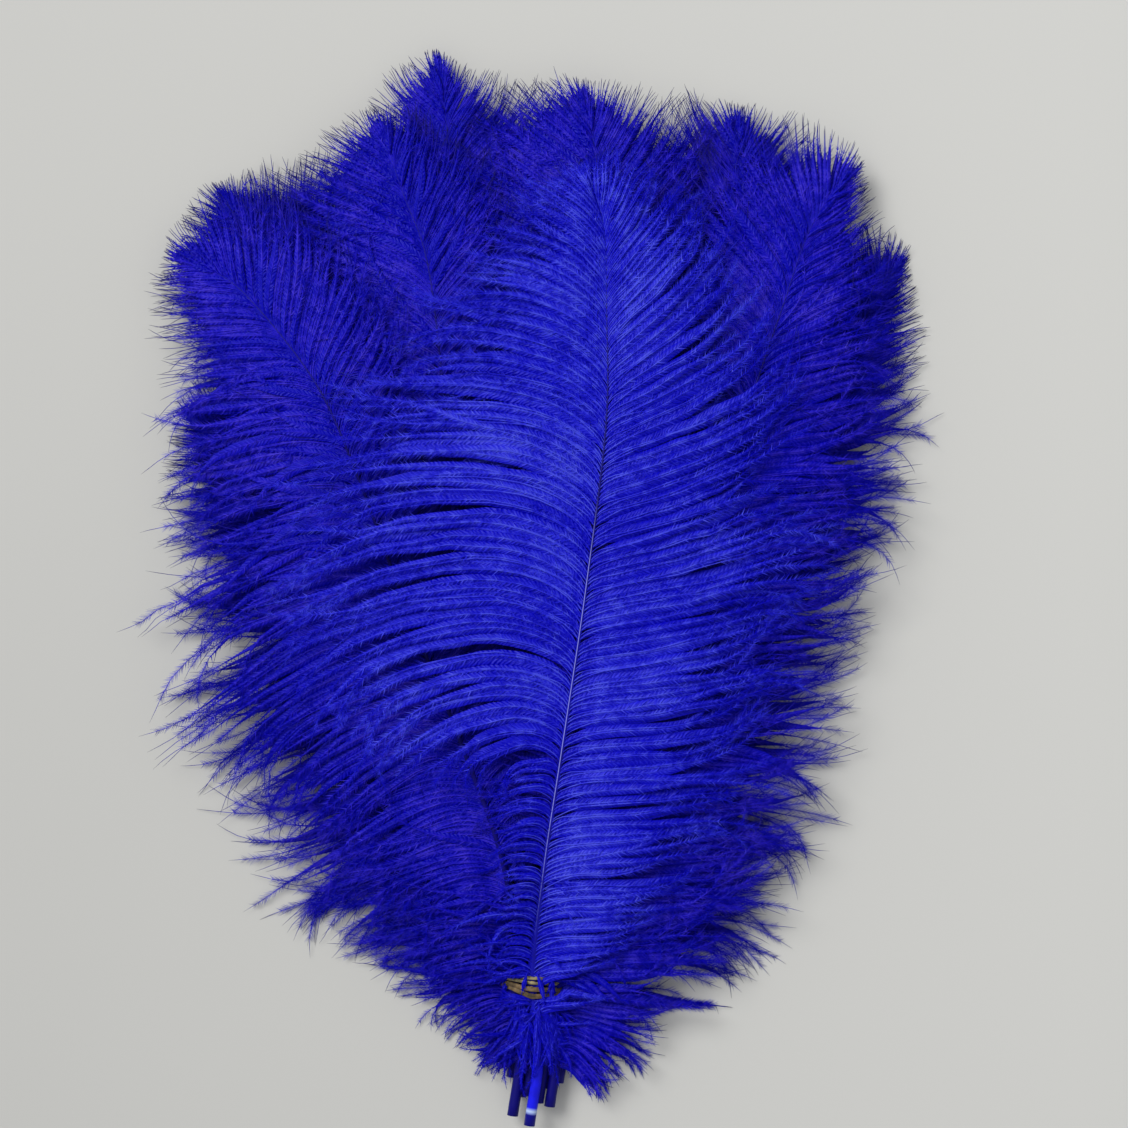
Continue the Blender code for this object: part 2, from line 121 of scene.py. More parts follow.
PLUMES = (
    Plume("far_right_feather", 2, 0, 0, -182,
          ((8, -110), (26, -68), (54, -15), (86, 42), (106, 78), (121, 103), (127, 112)),
          (112, -30), (25, 45, 50, 50, 50, 32, 9), (22, 79, 89, 80, 50, 26, 9),
          right_flow=FOOT_RIGHT, spread=(0.0, 0.12, 0.25, 0.5, 0.8, 0.92, 1.0)),
    Plume("low_left_feather", -2, 0, 0, -180,
          ((-18, -110), (-36, -70), (-62, -22), (-85, 16), (-106, 42), (-126, 58)),
          (-28, 112), (22, 58, 80, 85, 86, 56, 28, 9), (25, 34, 42, 46, 45, 38, 24, 9),
          spread=(0.0, 0.12, 0.25, 0.42, 0.55, 0.8, 0.92, 1.0)),
    Plume("left_feather", -1, 0, 1, -187,
          ((-14, -100), (-27, -50), (-46, 0), (-68, 52), (-88, 94), (-105, 122), (-115, 137)),
          (48, 48), (52, 82, 78, 56, 32, 9), (50, 66, 66, 66, 31, 8)),
    Plume("right_feather", 1, 0, 2, -184,
          ((2, -100), (15, -50), (32, 0), (52, 60), (63, 110), (69.6, 146), (70, 163)),
          (48, 48), (50, 68, 68, 66, 40, 8), (60, 84, 78, 65, 34, 8)),
    Plume("tall_left_feather", 0, 0, 3, -185,
          ((-7, -100), (-12, -50), (-19, 0), (-27, 60), (-33, 110), (-35, 158), (-38, 184)),
          (48, 48), (56, 80, 70, 56, 31, 8), (56, 76, 70, 65, 26, 8)),
    Plume("second_feather", 0.5, 1, 4, -188.6,
          ((2, -100), (10, -50), (20, 0), (25, 60), (22, 110), (18, 154), (14.5, 171)),
          (48, 48), (60, 86, 82, 75, 43, 9), (60, 86, 86, 69, 32, 9)),
    Plume("bent_left_feather", -0.5, 1, 5, -186,
          ((-9, -100), (-16, -50), (-26, 0), (-35, 60), (-42.8, 117), (-51, 139), (-58, 160)),
          (48, 48), (56, 88, 82, 72, 38, 9), (56, 76, 62, 48, 32, 9)),
    Plume("far_left_feather", -1.5, 1, 6, -193.3,
          ((-14, -105), (-29, -60), (-51, -5), (-67, 38), (-81, 69), (-102, 96.5),
           (-114, 108), (-129, 115)),
          (-28, 48), (21, 62, 92, 112, 58, 36, 9), (44, 56, 58, 58, 58, 34, 8), left_flow=FALL_LEFT,
          spread=(0.0, 0.25, 0.4, 0.55, 0.8, 0.92, 1.0)),
    Plume("upper_right_feather", 1.5, 1, 7, -190,
          ((4, -110), (18, -65), (42, -10), (68, 50), (84, 95), (96, 127.8), (105, 141), (109, 145)),
          (48, -30), (44, 52, 58, 60, 71, 39, 8), (22, 80, 92, 84, 59, 30, 8),
          right_flow=FOOT_RIGHT, spread=(0.0, 0.12, 0.25, 0.5, 0.8, 0.92, 1.0)),
    Plume("main_feather", 0, 2, 8, -196.2,
          ((-0.4, -103.7), (6.1, -60.5), (14.8, -1.8), (22, 59), (22, 92), (20.9, 126), (16.2, 141)),
          (-12, -12), (14, 20, 26, 98, 130, 138, 134, 106, 74, 52, 34, 9),
          (28, 66, 96, 97, 98, 98, 94, 84, 66, 50, 34, 9), 4.0,
          Flow((78, 74, 58, 42, 30), (98, 116, 92, 60, 30), (122, 138, 108, 88, 32)),
          Flow((76, 78, 70, 50, 28), (82, 77, 60, 42, 26), (80, 62, 46, 34, 22)),
          (0.0, 0.16, 0.3, 0.35, 0.42, 0.5, 0.6, 0.7, 0.8, 0.88, 0.94, 1.0)),
)
MAIN = PLUMES[-1]

band_low, band_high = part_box("upper_rubber_band")
SHIFT_X = (band_low.x + band_high.x) / 2 - BUNDLE_X
SHIFT_Y = (band_low.y + band_high.y) / 2 - (BAND_Y + BAND_TURN_PITCH)


# --- settings ------------------------------------------------------------------------------------


def length_property(name, description, default):
    return bpy.props.FloatProperty(name=name, description=description, default=default, min=0.0,
                                   precision=5, subtype="DISTANCE", unit="LENGTH")


def angle_property(name, description, default):
    return bpy.props.FloatProperty(name=name, description=description, default=math.radians(default),
                                   subtype="ANGLE", unit="ROTATION")


def share_property(name, description, default):
    return bpy.props.FloatProperty(name=name, description=description, default=default, min=0.0, max=1.0,
                                   subtype="FACTOR")


def number_property(name, description, default, unit="NONE"):
    return bpy.props.FloatProperty(name=name, description=description, default=default, min=0.0, unit=unit)


def count_property(name, description, default):
    return bpy.props.IntProperty(name=name, description=description, default=default, min=0)


def colour_property(name, description, default):
    return bpy.props.FloatVectorProperty(name=name, description=description, default=default, size=3,
                                         min=0.0, max=1.0, subtype="COLOR")


class BarbSettings(bpy.types.PropertyGroup):
    """Sizes of the barbs and barbules, and the painted highlight and painted shade on them."""

    main_pitch: length_property("Main barb spacing", "Between barbs along the top plume's shaft", 1.5 * MM)
    under_pitch: length_property("Lower barb spacing", "Between barbs on the plumes below it", 1.5 * MM)
    ramus_width: length_property("Barb width", "Width of a barb's stem at the shaft", 0.45 * MM)
    barbule_length: length_property("Barbule length", "Length of the longest barbules", 3.6 * MM)
    barbule_width: length_property("Barbule width", "Width of a loose barbule at its foot", 0.32 * MM)
    tuft_width: length_property("Tuft width", "Width of a tuft of barbules on the web", 0.5 * MM)
    main_tuft_pitch: length_property("Main tuft spacing", "Between tufts on the top plume", 0.85 * MM)
    under_tuft_pitch: length_property("Lower tuft spacing", "Between tufts on the lower plumes", 1.3 * MM)
    main_barbule_pitch: length_property("Main barbule spacing", "Between top plume barbules", 0.6 * MM)
    under_barbule_pitch: length_property("Lower barbule spacing", "Between barbules on the lower plumes",
                                         0.55 * MM)
    barbule_angle: angle_property("Barbule angle", "Angle between a barbule and its barb", 38.0)
    barbule_sink: angle_property("Barbule sink", "Angle by which barbules hang below their barb", 38.0)
    lock_sway: number_property("Lock sway", "Spread of the locks' bends in degrees", 6.0)
    curl: number_property("Curl", "Spread of the bends of the barbs' ends in degrees", 20.0)
    clumping: share_property("Clumping", "How closely a strand's barbs draw together", 0.75)
    bed: share_property("Bed", "Share of the barbs that stay loose under the strands", 0.3)
    main_stem_highlight: number_property("Main stem light", "How much lighter the top plume's stems are dyed", 1.4)
    under_stem_highlight: number_property("Lower stem light", "How much lighter the lower stems are dyed", 0.7)
    # painted shade: each plume lower in the pile is coloured darker than the one above
    layer_painted_shade: share_property("Layer tone", "How much darker each plume is than the one above it", 0.1)
    stray: share_property("Stray barbs", "Share of the barbs that leave their lock", 0.07)
    bare_tip: share_property("Bare tip", "Share of a barb's length that carries no barbules", 0.1)
    thinning: share_property("Hidden thinning", "Share of the barbules left out under the top plume", 0.75)
    filler_count: count_property("Filler", "Loose barbs at the upper end of each plume", 90)
    down_count: count_property("Down", "Downy barbs at the foot of each plume", 46)
    fluff_count: count_property("Fluff", "Downy barbs over the quills below the bands", 110)


class FinishSettings(bpy.types.PropertyGroup):
    """Colours of the dyed feathers and the rubber, and the painted highlight and painted shade on the
    barbs.
    """

    fibre: colour_property("Dye", "Dye on the barbs", (0.02, 0.022, 0.72))
    # the crest colour is a painted highlight on the barbs' stems and bright tufts
    crest: colour_property("Crest dye", "Dye where a barb's stem catches the light", (0.064, 0.08, 0.8))
    # the valley colour is painted shade on the barbs' deep sides and in the gaps between them
    painted_shade: colour_property("Valley dye", "Dye on the barbs' deep sides", (0.0006, 0.0002, 0.52))
    deep: colour_property("Deep dye", "Dye where it is darkest", (0.004, 0.001, 0.2))
    # painted shade: the lower plumes' colours are scaled down against the top plume's
    lower_painted_shade: share_property("Lower plumes", "Brightness of their dye against the top plume's", 0.8)
    tip: colour_property("Barb tips", "Dark ends of the barbs", (0.003, 0.002, 0.03))
    quill: colour_property("Quill", "Dye on the lower quills", (0.003, 0.002, 0.16))
    main_quill: colour_property("Top quill", "Brighter dye on the top plume's quill", (0.01, 0.012, 0.85))
    # painted highlight along the top of the top plume's shaft
    ridge: colour_property("Shaft ridge", "Pale line along the top plume's shaft", (0.34, 0.36, 0.9))
    ring: colour_property("Quill ring", "Whitish ring near the top quill's cut end", (0.55, 0.7, 0.95))
    pale_rubber: colour_property("Pale rubber", "Dry rubber of the upper band", (0.36, 0.3, 0.15))
    brown_rubber: colour_property("Brown rubber", "Rubber of the lower band", (0.24, 0.155, 0.065))


class StageSettings(bpy.types.PropertyGroup):
    """The table, the light and the camera."""

    view_width: length_property("View width", "Width of table that the picture shows", 406.0 * MM)
    camera_height: length_property("Camera height", "Height of the camera above the table", 1.1)
    floor: colour_property("Table", "Colour of the table", (0.55, 0.55, 0.53))
    key_power: number_property("Main light", "Power of the soft main light", 84.0, "POWER")
    sky: number_property("Room light", "Strength of the light from all round", 0.48)


# --- helpers -------------------------------------------------------------------------------------


def smooth(share):
    share = np.clip(share, 0.0, 1.0)
    return share * share * (3 - 2 * share)


def unit(vectors):
    return vectors / np.maximum(np.linalg.norm(vectors, axis=-1, keepdims=True), 1e-12)


class MeshStore:
    """Collects vertices, triangles and shading values, and makes one mesh piece of them."""

    def __init__(self):
        self.places, self.corners, self.count = [], [], 0
        self.values = {"along": [], "tone": [], "strand": []}

    def add(self, places, corners, along, tone, strand=0.0):
        places = places.reshape(-1, 3)
        self.places.append(places)
        self.corners.append(corners.reshape(-1, 3) + self.count)
        for label, value in zip(self.values, (along, tone, strand)):
            self.values[label].append(np.broadcast_to(value, len(places)))
        self.count += len(places)

    def piece(self, name, material):
        places = np.vstack(self.places) + (SHIFT_X, SHIFT_Y, 0.0)
        places[:, 2] = np.maximum(places[:, 2], FLOOR_CLEAR)
        corners = np.vstack(self.corners)
        mesh = bpy.data.meshes.new(name)
        mesh.vertices.add(len(places))
        mesh.vertices.foreach_set("co", places.astype(np.float32).ravel())
        mesh.loops.add(corners.size)
        mesh.loops.foreach_set("vertex_index", corners.astype(np.int32).ravel())
        mesh.polygons.add(len(corners))
        mesh.polygons.foreach_set("loop_start", np.arange(0, corners.size, 3, dtype=np.int32))
        for label, values in self.values.items():
            layer = mesh.attributes.new(label, "FLOAT", "POINT")
            layer.data.foreach_set("value", np.concatenate(values).astype(np.float32))
        mesh.update(calc_edges=True)
        mesh.shade_smooth()
        mesh.materials.append(material)
        obj = bpy.data.objects.new(name, mesh)
        bpy.context.scene.collection.objects.link(obj)
        return obj


def tube_corners(rings, sides, closed=False):
    """Triangles between rings of a tube whose vertices run ring by ring."""
    ring = np.arange(rings if closed else rings - 1)[:, None]
    side = np.arange(sides)[None, :]
    after_ring = (ring + 1) % rings
    after_side = (side + 1) % sides
    a, b = ring * sides + side, ring * sides + after_side
    c, d = after_ring * sides + after_side, after_ring * sides + side
    return np.stack([np.stack([a, b, c], -1), np.stack([a, c, d], -1)], 2).reshape(-1, 3)


def pile_height(layer, x, y):
    """Height of a layer's middle surface well away from the tie."""
    across = (x - PILE_CENTRE[0]) / PILE_HALF[0]
    along = (y - PILE_CENTRE[1]) / PILE_HALF[1]
    rim = np.minimum(across * across + along * along, 1.0)
    pitch = LAYER_PITCH + (LAYER_PITCH_RIM - LAYER_PITCH) * rim
    return PILE_RIM_Z + PILE_ARCH * (1 - rim) + layer * pitch


def row_height(row):
    return FIRST_ROW_Z + row * ROW_RISE


def plume_height(plume, x, y):
    """From the quill's row in the tie, a plume rises or sinks to its own layer."""
    away = np.hypot(x - BUNDLE_X, np.maximum(y - BAND_Y, 0.0))
    share = smooth((away - FAN_START) / (FAN_END - FAN_START))
    return (1 - share) * row_height(plume.row) + share * pile_height(plume.layer, x, y)


def curve_through(points, steps_per_span=24):
    """Centripetal Catmull-Rom curve through the given points."""
    points = np.array(points, float)
    points = np.vstack([2 * points[0] - points[1], points, 2 * points[-1] - points[-2]])
    knots = np.r_[0.0, np.cumsum(np.sqrt(np.linalg.norm(np.diff(points, axis=0), axis=1)))]
    line = []
    for k in range(1, len(points) - 2):
        p0, p1, p2, p3 = points[k - 1:k + 3]
        t0, t1, t2, t3 = knots[k - 1:k + 3]
        t = (t1 + (t2 - t1) * np.arange(steps_per_span) / steps_per_span)[:, None]
        a1 = (t1 - t) / (t1 - t0) * p0 + (t - t0) / (t1 - t0) * p1
        a2 = (t2 - t) / (t2 - t1) * p1 + (t - t1) / (t2 - t1) * p2
        a3 = (t3 - t) / (t3 - t2) * p2 + (t - t2) / (t3 - t2) * p3
        b1 = (t2 - t) / (t2 - t0) * a1 + (t - t0) / (t2 - t0) * a2
        b2 = (t3 - t) / (t3 - t1) * a2 + (t - t1) / (t3 - t1) * a3
        line.append((t2 - t) / (t2 - t1) * b1 + (t - t1) / (t2 - t1) * b2)
    return np.vstack([*line, points[-2]])


class ShaftLine:
    """The shaft in plan, read by its distance from the tie (below the tie is negative)."""

    def __init__(self, plume):
        x = BUNDLE_X + plume.place * QUILL_PITCH
        end = plume.quill_end * MM
        bend = BAND_Y - BEND_AT
        above = [(px * MM, py * MM) for px, py in plume.shaft]
        below = [(x + BEND_X - CUT_LEAN * (bend - end), end), (x + BEND_X, bend)]
        self.line = curve_through([*below, (x, BAND_Y), *above])
        lengths = np.linalg.norm(np.diff(self.line, axis=0), axis=1)
        self.at = np.r_[0.0, np.cumsum(lengths)] - (BAND_Y - end)
        self.start, self.end = self.at[0], self.at[-1]

    def point(self, at):
        return np.stack([np.interp(at, self.at, self.line[:, k]) for k in (0, 1)], -1)

    def heading(self, at):
        step = 1.5 * MM
        run = self.point(at + step) - self.point(at - step)
        return np.arctan2(run[..., 1], run[..., 0])


# --- barbs ---------------------------------------------------------------------------------------

# a strand's leading barb carries its web, the others join it, and bed barbs lie loose below
LEADER, FOLLOWER, BED = 0, 1, 2


class Barbs(NamedTuple):
    """Barbs in space: paths[barb, step, xyz]; length, tone, bare share, kind and fullness for each."""

    paths: np.ndarray
    length: np.ndarray
    tone: np.ndarray
    bare: np.ndarray
    kind: np.ndarray
    full: np.ndarray


class Habit(NamedTuple):
    """How a plume's barbs lie: steps along a barb, crowding at the tip, where the calm tip starts, bends of
    locks, drift and strands, drawing together of locks, their least length, and where fillers grow."""

    steps: int
    tip_crowd: float
    tip_from: float
    lock_sway: float
    drift: float
    strand_sway: float
    gather: float
    shortest: float
    filler: tuple


TOP_HABIT = Habit(18, 0.5, 0.84, 0.15, 0.45, 2.5, 0.4, 0.92, (0.6, 0.97))
LOWER_HABIT = Habit(13, 1.3, 0.68, 1.0, 1.6, 3.5, 1.0, 0.88, (0.5, 0.985))

# bends along a barb, in degrees, and the shares of its length by which they are reached
FLOW_AT = (0.0, 0.33, 0.66, 0.85, 1.0)
MIDDLE_BY = 0.45
END_FROM, END_OVER = 0.35, 0.55
CURL_FROM = 0.55
HOOK, HOOK_REACH = 0.54, 5.0 * MM
DROOP, DROOP_REACH, DROOP_BY = 40.0, 26.0 * MM, 0.25
TIE_FLARE, TIE_FLARE_REACH = 2.0, 22.0 * MM
FLARE_RATE, FLARE_LAG = 3, 0.9
TIP_CLOSE, TIP_CLOSE_FROM = 0.85, 0.94
VANE_REACH = 1.04
STEP_EASE = 0.45

# crowding along the shaft, as shares of the shaft and of the usual number of barbs
CROWD_FROM, CROWD_OVER = 0.7, 0.2
FOOT_CROWD, FOOT_REACH = 1.9, 115.0 * MM
LOW_START = -20 * MM
SHORT_FOOT, SHORT_FOOT_REACH = 0.35, 14.0 * MM

# room for the rubber bands
PARTING = 4.4 * MM
PARTING_HALF = 12.0 * MM
PARTING_SLANT = -0.12
OVER_BAND = 0.2

# runs of barbs, their random bends in degrees and the sizes of the slow drift in mm
STRAND_BARBS, LOCK_STRANDS = (2, 3), (1, 4)
OWN_SWAY, STRAY_SWAY = 3.0, 14
STRAND_CURL, STRAY_CURL = 0.7, 35
DRIFT_SIZES = (4, 7, 13, 25)

# random lengths as shares of the vane's outline
LONGEST_LOCK = 1.07
STRAND_REACH, OWN_REACH = (0.92, 1.04), (0.84, 1.02)
BED_REACH = 0.95
TIP_REACH, TIP_EVEN = 0.97, 0.5

# the calm upper end: how long it takes to set in, and how much of the disorder it takes away
TIP_OVER = 0.22
TIP_CALM, TIP_LOOSE, TIP_SINGLE = 0.7, 0.9, 0.4

# where along a barb its strand and its lock draw together, and how much
JOIN_FROM, JOIN_REACH = 3.0 * MM, 9.0 * MM
OPENS_FROM, OPENS_OVER, OPENING = 0.6, 0.4, 0.5
GATHER_FROM = 0.5
LOCK_GATHER, BED_GATHER = (0.05, 0.6), 0.5

# waves and lifts in mm, tones in steps of the dye
WAVE_SIZE, WAVE_SWING, WAVE_TURN = (18, 42), (0.05, 0.6), 0.8
LOCK_LIFT, STRAND_LIFT, OWN_LIFT, BED_LIFT, STRAY_LIFT = (-0.2, 1.0), (-0.3, 0.5), 0.2, -0.8, 1.2
LIFTED_BY = 0.45
# random tones of locks, strands and barbs, and a fixed painted shade on the bed barbs under the strands
LOCK_TONE, STRAND_TONE, OWN_TONE, BED_PAINTED_SHADE = (-0.35, 0.35), (-0.3, 0.3), (-0.2, 0.2), 0.45
# painted shade on the top plume's left barbs low on its shaft, where they lie in a hollow; it fades out
# towards HOLLOW_END
HOLLOW_PAINTED_SHADE, HOLLOW_END, HOLLOW_FADE = 1.2, 100.0 * MM, 30.0 * MM
BARE_SPREAD, BARE_TIP = (0.5, 1.6), (0.08, 0.26)
FOOT_HEIGHT, FOOT_RISE_REACH = 0.74, 6.0 * MM


def habit_of(plume):
    return TOP_HABIT if plume is MAIN else LOWER_HABIT


def start_of(plume, side):
    return plume.start[0 if side < 0 else 1] * MM


def shares(count):
    """Shares of a barb's length at which its points lie, closer together at both ends."""
    even = np.linspace(0, 1, count)
    return even - STEP_EASE * np.sin(2 * np.pi * even) / (2 * np.pi)


def walk(place, length, steps, angle_at):
    """Plans of barbs from where they start, with their heading read at each share of their length."""
    places = [place]
    knots = shares(steps + 1)
    for t, gone in zip((knots[1:] + knots[:-1]) / 2, np.diff(knots)):
        angle = angle_at(t)
        step = np.stack([np.cos(angle), np.sin(angle)], -1) * (length * gone)[:, None]
        places.append(places[-1] + step)
    return np.stack(places, 1)


def barb_runs(plume, line, side, at, reach, sway, curl):
    """Plans and lengths of barbs that leave the shaft at the given distances."""
    start = start_of(plume, side)
    along = (at - start) / (line.end - start)
    length = np.interp(along, plume.spread, plume.left if side < 0 else plume.right) * MM
    length = length * reach * VANE_REACH
    flow = plume.left_flow if side < 0 else plume.right_flow
    closing = 1 - TIP_CLOSE * smooth((along - TIP_CLOSE_FROM) / (1 - TIP_CLOSE_FROM))
    leave, middle, end = (np.interp(along, FLOW_AT, angles) * closing for angles in flow)
    flare = np.sign(at) * TIE_FLARE * smooth(1 - np.abs(at) / TIE_FLARE_REACH)
    droop = DROOP * smooth(-at / DROOP_REACH)
    heading = line.heading(at)

    def angle_at(t):
        turn = leave + (middle - leave) * smooth(t / MIDDLE_BY)
        turn = turn + (end - middle) * smooth((t - END_FROM) / END_OVER)
        turn = turn + flare * smooth(FLARE_RATE * t - FLARE_LAG) + sway * t
        turn = turn - HOOK * leave * np.exp(-t * length / HOOK_REACH)
        turn = turn + droop * smooth(t / DROOP_BY) + curl * smooth((t - CURL_FROM) / (1 - CURL_FROM))
        return heading - side * np.radians(turn)

    return walk(line.point(at), length, habit_of(plume).steps, angle_at), length


def loose_runs(place, heading, bend, length):
    """Plans of loose barbs that bend evenly from where they start."""
    return walk(place, length, LOWER_HABIT.steps, lambda t: heading + bend * t)


def part_at_tie(plan, at, held):
    """Keeps barbs clear of the rubber bands: those from above stay above, those from below stay below."""
    way = np.where(at > 0, 1.0, -1.0)[:, None]
    across = plan[..., 0] - BUNDLE_X
    opening = PARTING * np.sqrt(np.clip(1 - (across / PARTING_HALF) ** 2, 0.0, 1.0))
    middle = BAND_Y + PARTING_SLANT * across
    plan[..., 1] += way * np.maximum(opening - way * (plan[..., 1] - middle), 0.0) * held[:, None]
    return plan


def group_of(count, sizes, chance):
    """Splits a row of items into runs of random sizes and gives each item's run."""
    runs = np.repeat(np.arange(count), chance.integers(sizes[0], sizes[1] + 1, count))
    return runs[:count]


def group_middle(values, group):
    return (np.bincount(group, values) / np.bincount(group))[group]


def leaders(at, strand, bed):
    """The barb nearest the middle of each strand."""
    off = np.abs(at - group_middle(at, strand)) + bed
    order = np.lexsort((off, strand))
    return order[np.r_[True, np.diff(strand[order]) > 0]]


def foot_share(plume, at, start):
    """How much a barb belongs to the full foot of a vane that starts below the tie."""
    return smooth(1 - at / FOOT_REACH) * (start < LOW_START)


def foot_rise(at):
    """How far above the shaft's middle its barbs start."""
    return FOOT_HEIGHT * np.interp(at, SHAFT_AT, SHAFT_RADIUS)


def stations(plume, line, side, chance, pitch):
    """Distances along the shaft at which the barbs leave it, closer together towards both its ends."""
    start = start_of(plume, side)
    at = np.linspace(start, line.end - 0.5 * MM, 400)
    crowd = 1 + habit_of(plume).tip_crowd * smooth((at / line.end - CROWD_FROM) / CROWD_OVER)
    crowd = crowd + foot_share(plume, at, start) * FOOT_CROWD
    number = np.r_[0.0, np.cumsum((crowd[1:] + crowd[:-1]) / 2 * np.diff(at) / pitch)]
    count = int(number[-1])
    return np.interp(np.arange(count) + chance.uniform(0.2, 0.8, count), number, at)


def vane_paths(plume, line, side, chance, settings, pitch):
    """Barbs of one vane in space, drawn together in strands and locks over a bed of loose ones."""
    habit = habit_of(plume)
    at = stations(plume, line, side, chance, pitch)
    count = len(at)
    bed = np.arange(count) * settings.bed % 1 < settings.bed
    strand = group_of(count, STRAND_BARBS, chance)
    lock = group_of(count, LOCK_STRANDS, chance)[strand]
    drift = sum(chance.uniform(0.5, 1) * np.sin(at / (size * MM) + chance.uniform(0, 6.3))
                for size in DRIFT_SIZES)
    top = smooth((at / line.end - habit.tip_from) / TIP_OVER)
    calm = 1 - TIP_CALM * top
    stray = ~bed & (chance.random(count) < settings.stray * calm)
    kind = np.full(count, FOLLOWER)
    kind[leaders(at, strand, bed)] = LEADER
    kind = np.where(bed, BED, np.where(stray | (top > TIP_SINGLE), LEADER, kind))

    lock_sway = chance.normal(0, settings.lock_sway * habit.lock_sway, count)[lock]
    lock_sway = (lock_sway + drift * habit.drift) * calm
    strand_sway = lock_sway + chance.normal(0, habit.strand_sway, count)[strand] * calm
    own_sway = strand_sway + chance.normal(0, OWN_SWAY, count) + stray * chance.normal(0, STRAY_SWAY, count)
    lock_curl = chance.normal(0, settings.curl, count)[lock] * calm
    strand_curl = lock_curl + chance.normal(0, STRAND_CURL * settings.curl, count)[strand] * calm
    own_curl = strand_curl + chance.normal(0, settings.curl, count) * calm
    own_curl = own_curl + stray * chance.normal(0, STRAY_CURL, count)

    reach = chance.uniform(habit.shortest, LONGEST_LOCK, count)[lock]
    reach = reach * chance.uniform(*STRAND_REACH, count)[strand]
    reach = reach * chance.uniform(*OWN_REACH, count) * np.where(bed, BED_REACH, 1.0)
    if side < 0:
        reach = reach * (1 - SHORT_FOOT * smooth(-at / SHORT_FOOT_REACH))
    reach = reach + (TIP_REACH - reach) * TIP_EVEN * top

    own, length = barb_runs(plume, line, side, at, reach, own_sway, own_curl)
    strand_run, _ = barb_runs(plume, line, side, group_middle(at, strand), reach, strand_sway, strand_curl)
    lock_run, _ = barb_runs(plume, line, side, group_middle(at, lock), reach, lock_sway, lock_curl)
    share = shares(own.shape[1])[None, :]
    gone = share * length[:, None]
    draw = settings.clumping * smooth((gone - JOIN_FROM) / JOIN_REACH)
    draw = draw * (1 - OPENING * smooth((share - OPENS_FROM) / OPENS_OVER))
    draw = draw * ~(stray | bed)[:, None] * (1 - TIP_LOOSE * top)[:, None]
    gather = chance.uniform(*LOCK_GATHER, count)[lock][:, None]
    gather = gather * smooth((share - GATHER_FROM) / (1 - GATHER_FROM))
    gather = gather * (1 - top)[:, None] * habit.gather
    gather = gather * np.where(bed, BED_GATHER, 1.0)[:, None] * ~stray[:, None]
    gather = gather * (1 - foot_share(plume, at, start_of(plume, side)))[:, None]
    plan = own + (strand_run - own) * draw[..., None] + (lock_run - strand_run) * gather[..., None]

    run = unit(np.gradient(plan, axis=1))
    across = np.stack([-run[..., 1], run[..., 0]], -1)
    wave_size = chance.uniform(*WAVE_SIZE, count)[strand][:, None] * MM
    phase = chance.uniform(0, 2 * np.pi, count)[strand][:, None]
    swing = chance.uniform(*WAVE_SWING, count)[strand][:, None] * MM * smooth(share / 0.5)
    plan = plan + across * (swing * np.sin(2 * np.pi * gone / wave_size + phase))[..., None]
    plan = part_at_tie(plan, at, ~stray & (chance.random(count) > OVER_BAND))

    lock_lift = chance.uniform(*LOCK_LIFT, count)[lock] + chance.uniform(*STRAND_LIFT, count)[strand]
    lock_lift = np.where(bed, BED_LIFT, lock_lift) + chance.normal(0, OWN_LIFT, count)
    lift = plume.crest * MM * np.sin(np.pi * share) + lock_lift[:, None] * MM * smooth(share / LIFTED_BY)
    lift = lift + swing * np.cos(2 * np.pi * gone / wave_size * WAVE_TURN + phase)
    lift = lift + stray[:, None] * STRAY_LIFT * MM * share
    height = plume_height(plume, plan[..., 0], plan[..., 1]) + lift
    height = height + foot_rise(at)[:, None] * smooth(1 - gone / FOOT_RISE_REACH)

    tone = chance.uniform(*LOCK_TONE, count)[lock] + chance.uniform(*STRAND_TONE, count)[strand]
    # bed barbs lying under the strands are coloured darker: painted shade
    tone = tone + chance.uniform(*OWN_TONE, count) - BED_PAINTED_SHADE * bed
    # painted shade where the top plume's lower left barbs lie in a hollow
    if plume is MAIN and side < 0:
        tone = tone - HOLLOW_PAINTED_SHADE * smooth((HOLLOW_END - at) / HOLLOW_FADE)
    bare = settings.bare_tip * chance.uniform(*BARE_SPREAD, count) + chance.uniform(*BARE_TIP, count) * top
    return Barbs(np.dstack([plan, height]), length, tone, bare, kind, top)


# loose barbs: bends in degrees, lengths and lifts in mm, the rest in shares
LOOSE_FULL = 0.3
FILLER_SWAY, FILLER_COVER, COVER_SWAY, COVER_AT = 26, 0.25, (-110, -60), (0.08, 0.8)
FILLER_REACH, FILLER_LIFT, FILLER_RISE = (0.55, 0.95), (-1.2, 1.5), 1.2
FILLER_TONE, FILLER_BARE = (-1.4, 0.2), (0.12, 0.4)
DOWN_AT, DOWN_LENGTH, LOW_DOWN_LENGTH = (-22, 46), (14, 40), (10, 24)
DOWN_LEAVE, LOW_DOWN_TURN, DOWN_BEND, DOWN_BEND_GAIN = (60, 108), 40, (12, 30), 1.6
DOWN_OVER_BAND, DOWN_RISE, DOWN_ARCH, DOWN_TONE = 0.12, (-1.5, 5.0), 0.6, (-2.2, 0.0)
DOWN_BARE = (0.03, 0.12)
CROSSING = 4
FLUFF_X, FLUFF_BELOW, CROSSING_BELOW = (0.5, 10.0), (4.6, 13.0), (-8.0, -4.0)
FLUFF_LENGTH, CROSSING_LENGTH = (12, 26), (9, 16)
FLUFF_LEAN, FLUFF_BEND = (14, 18), (10, 26)
FLUFF_REACH, FLUFF_OVER, FLUFF_END = 17.0 * MM, 0.7 * MM, 2.0 * MM
FLUFF_RISE, CROSSING_RISE, FLUFF_TONE = (-0.2, 1.6), 2.4, (-3.0, -0.9)


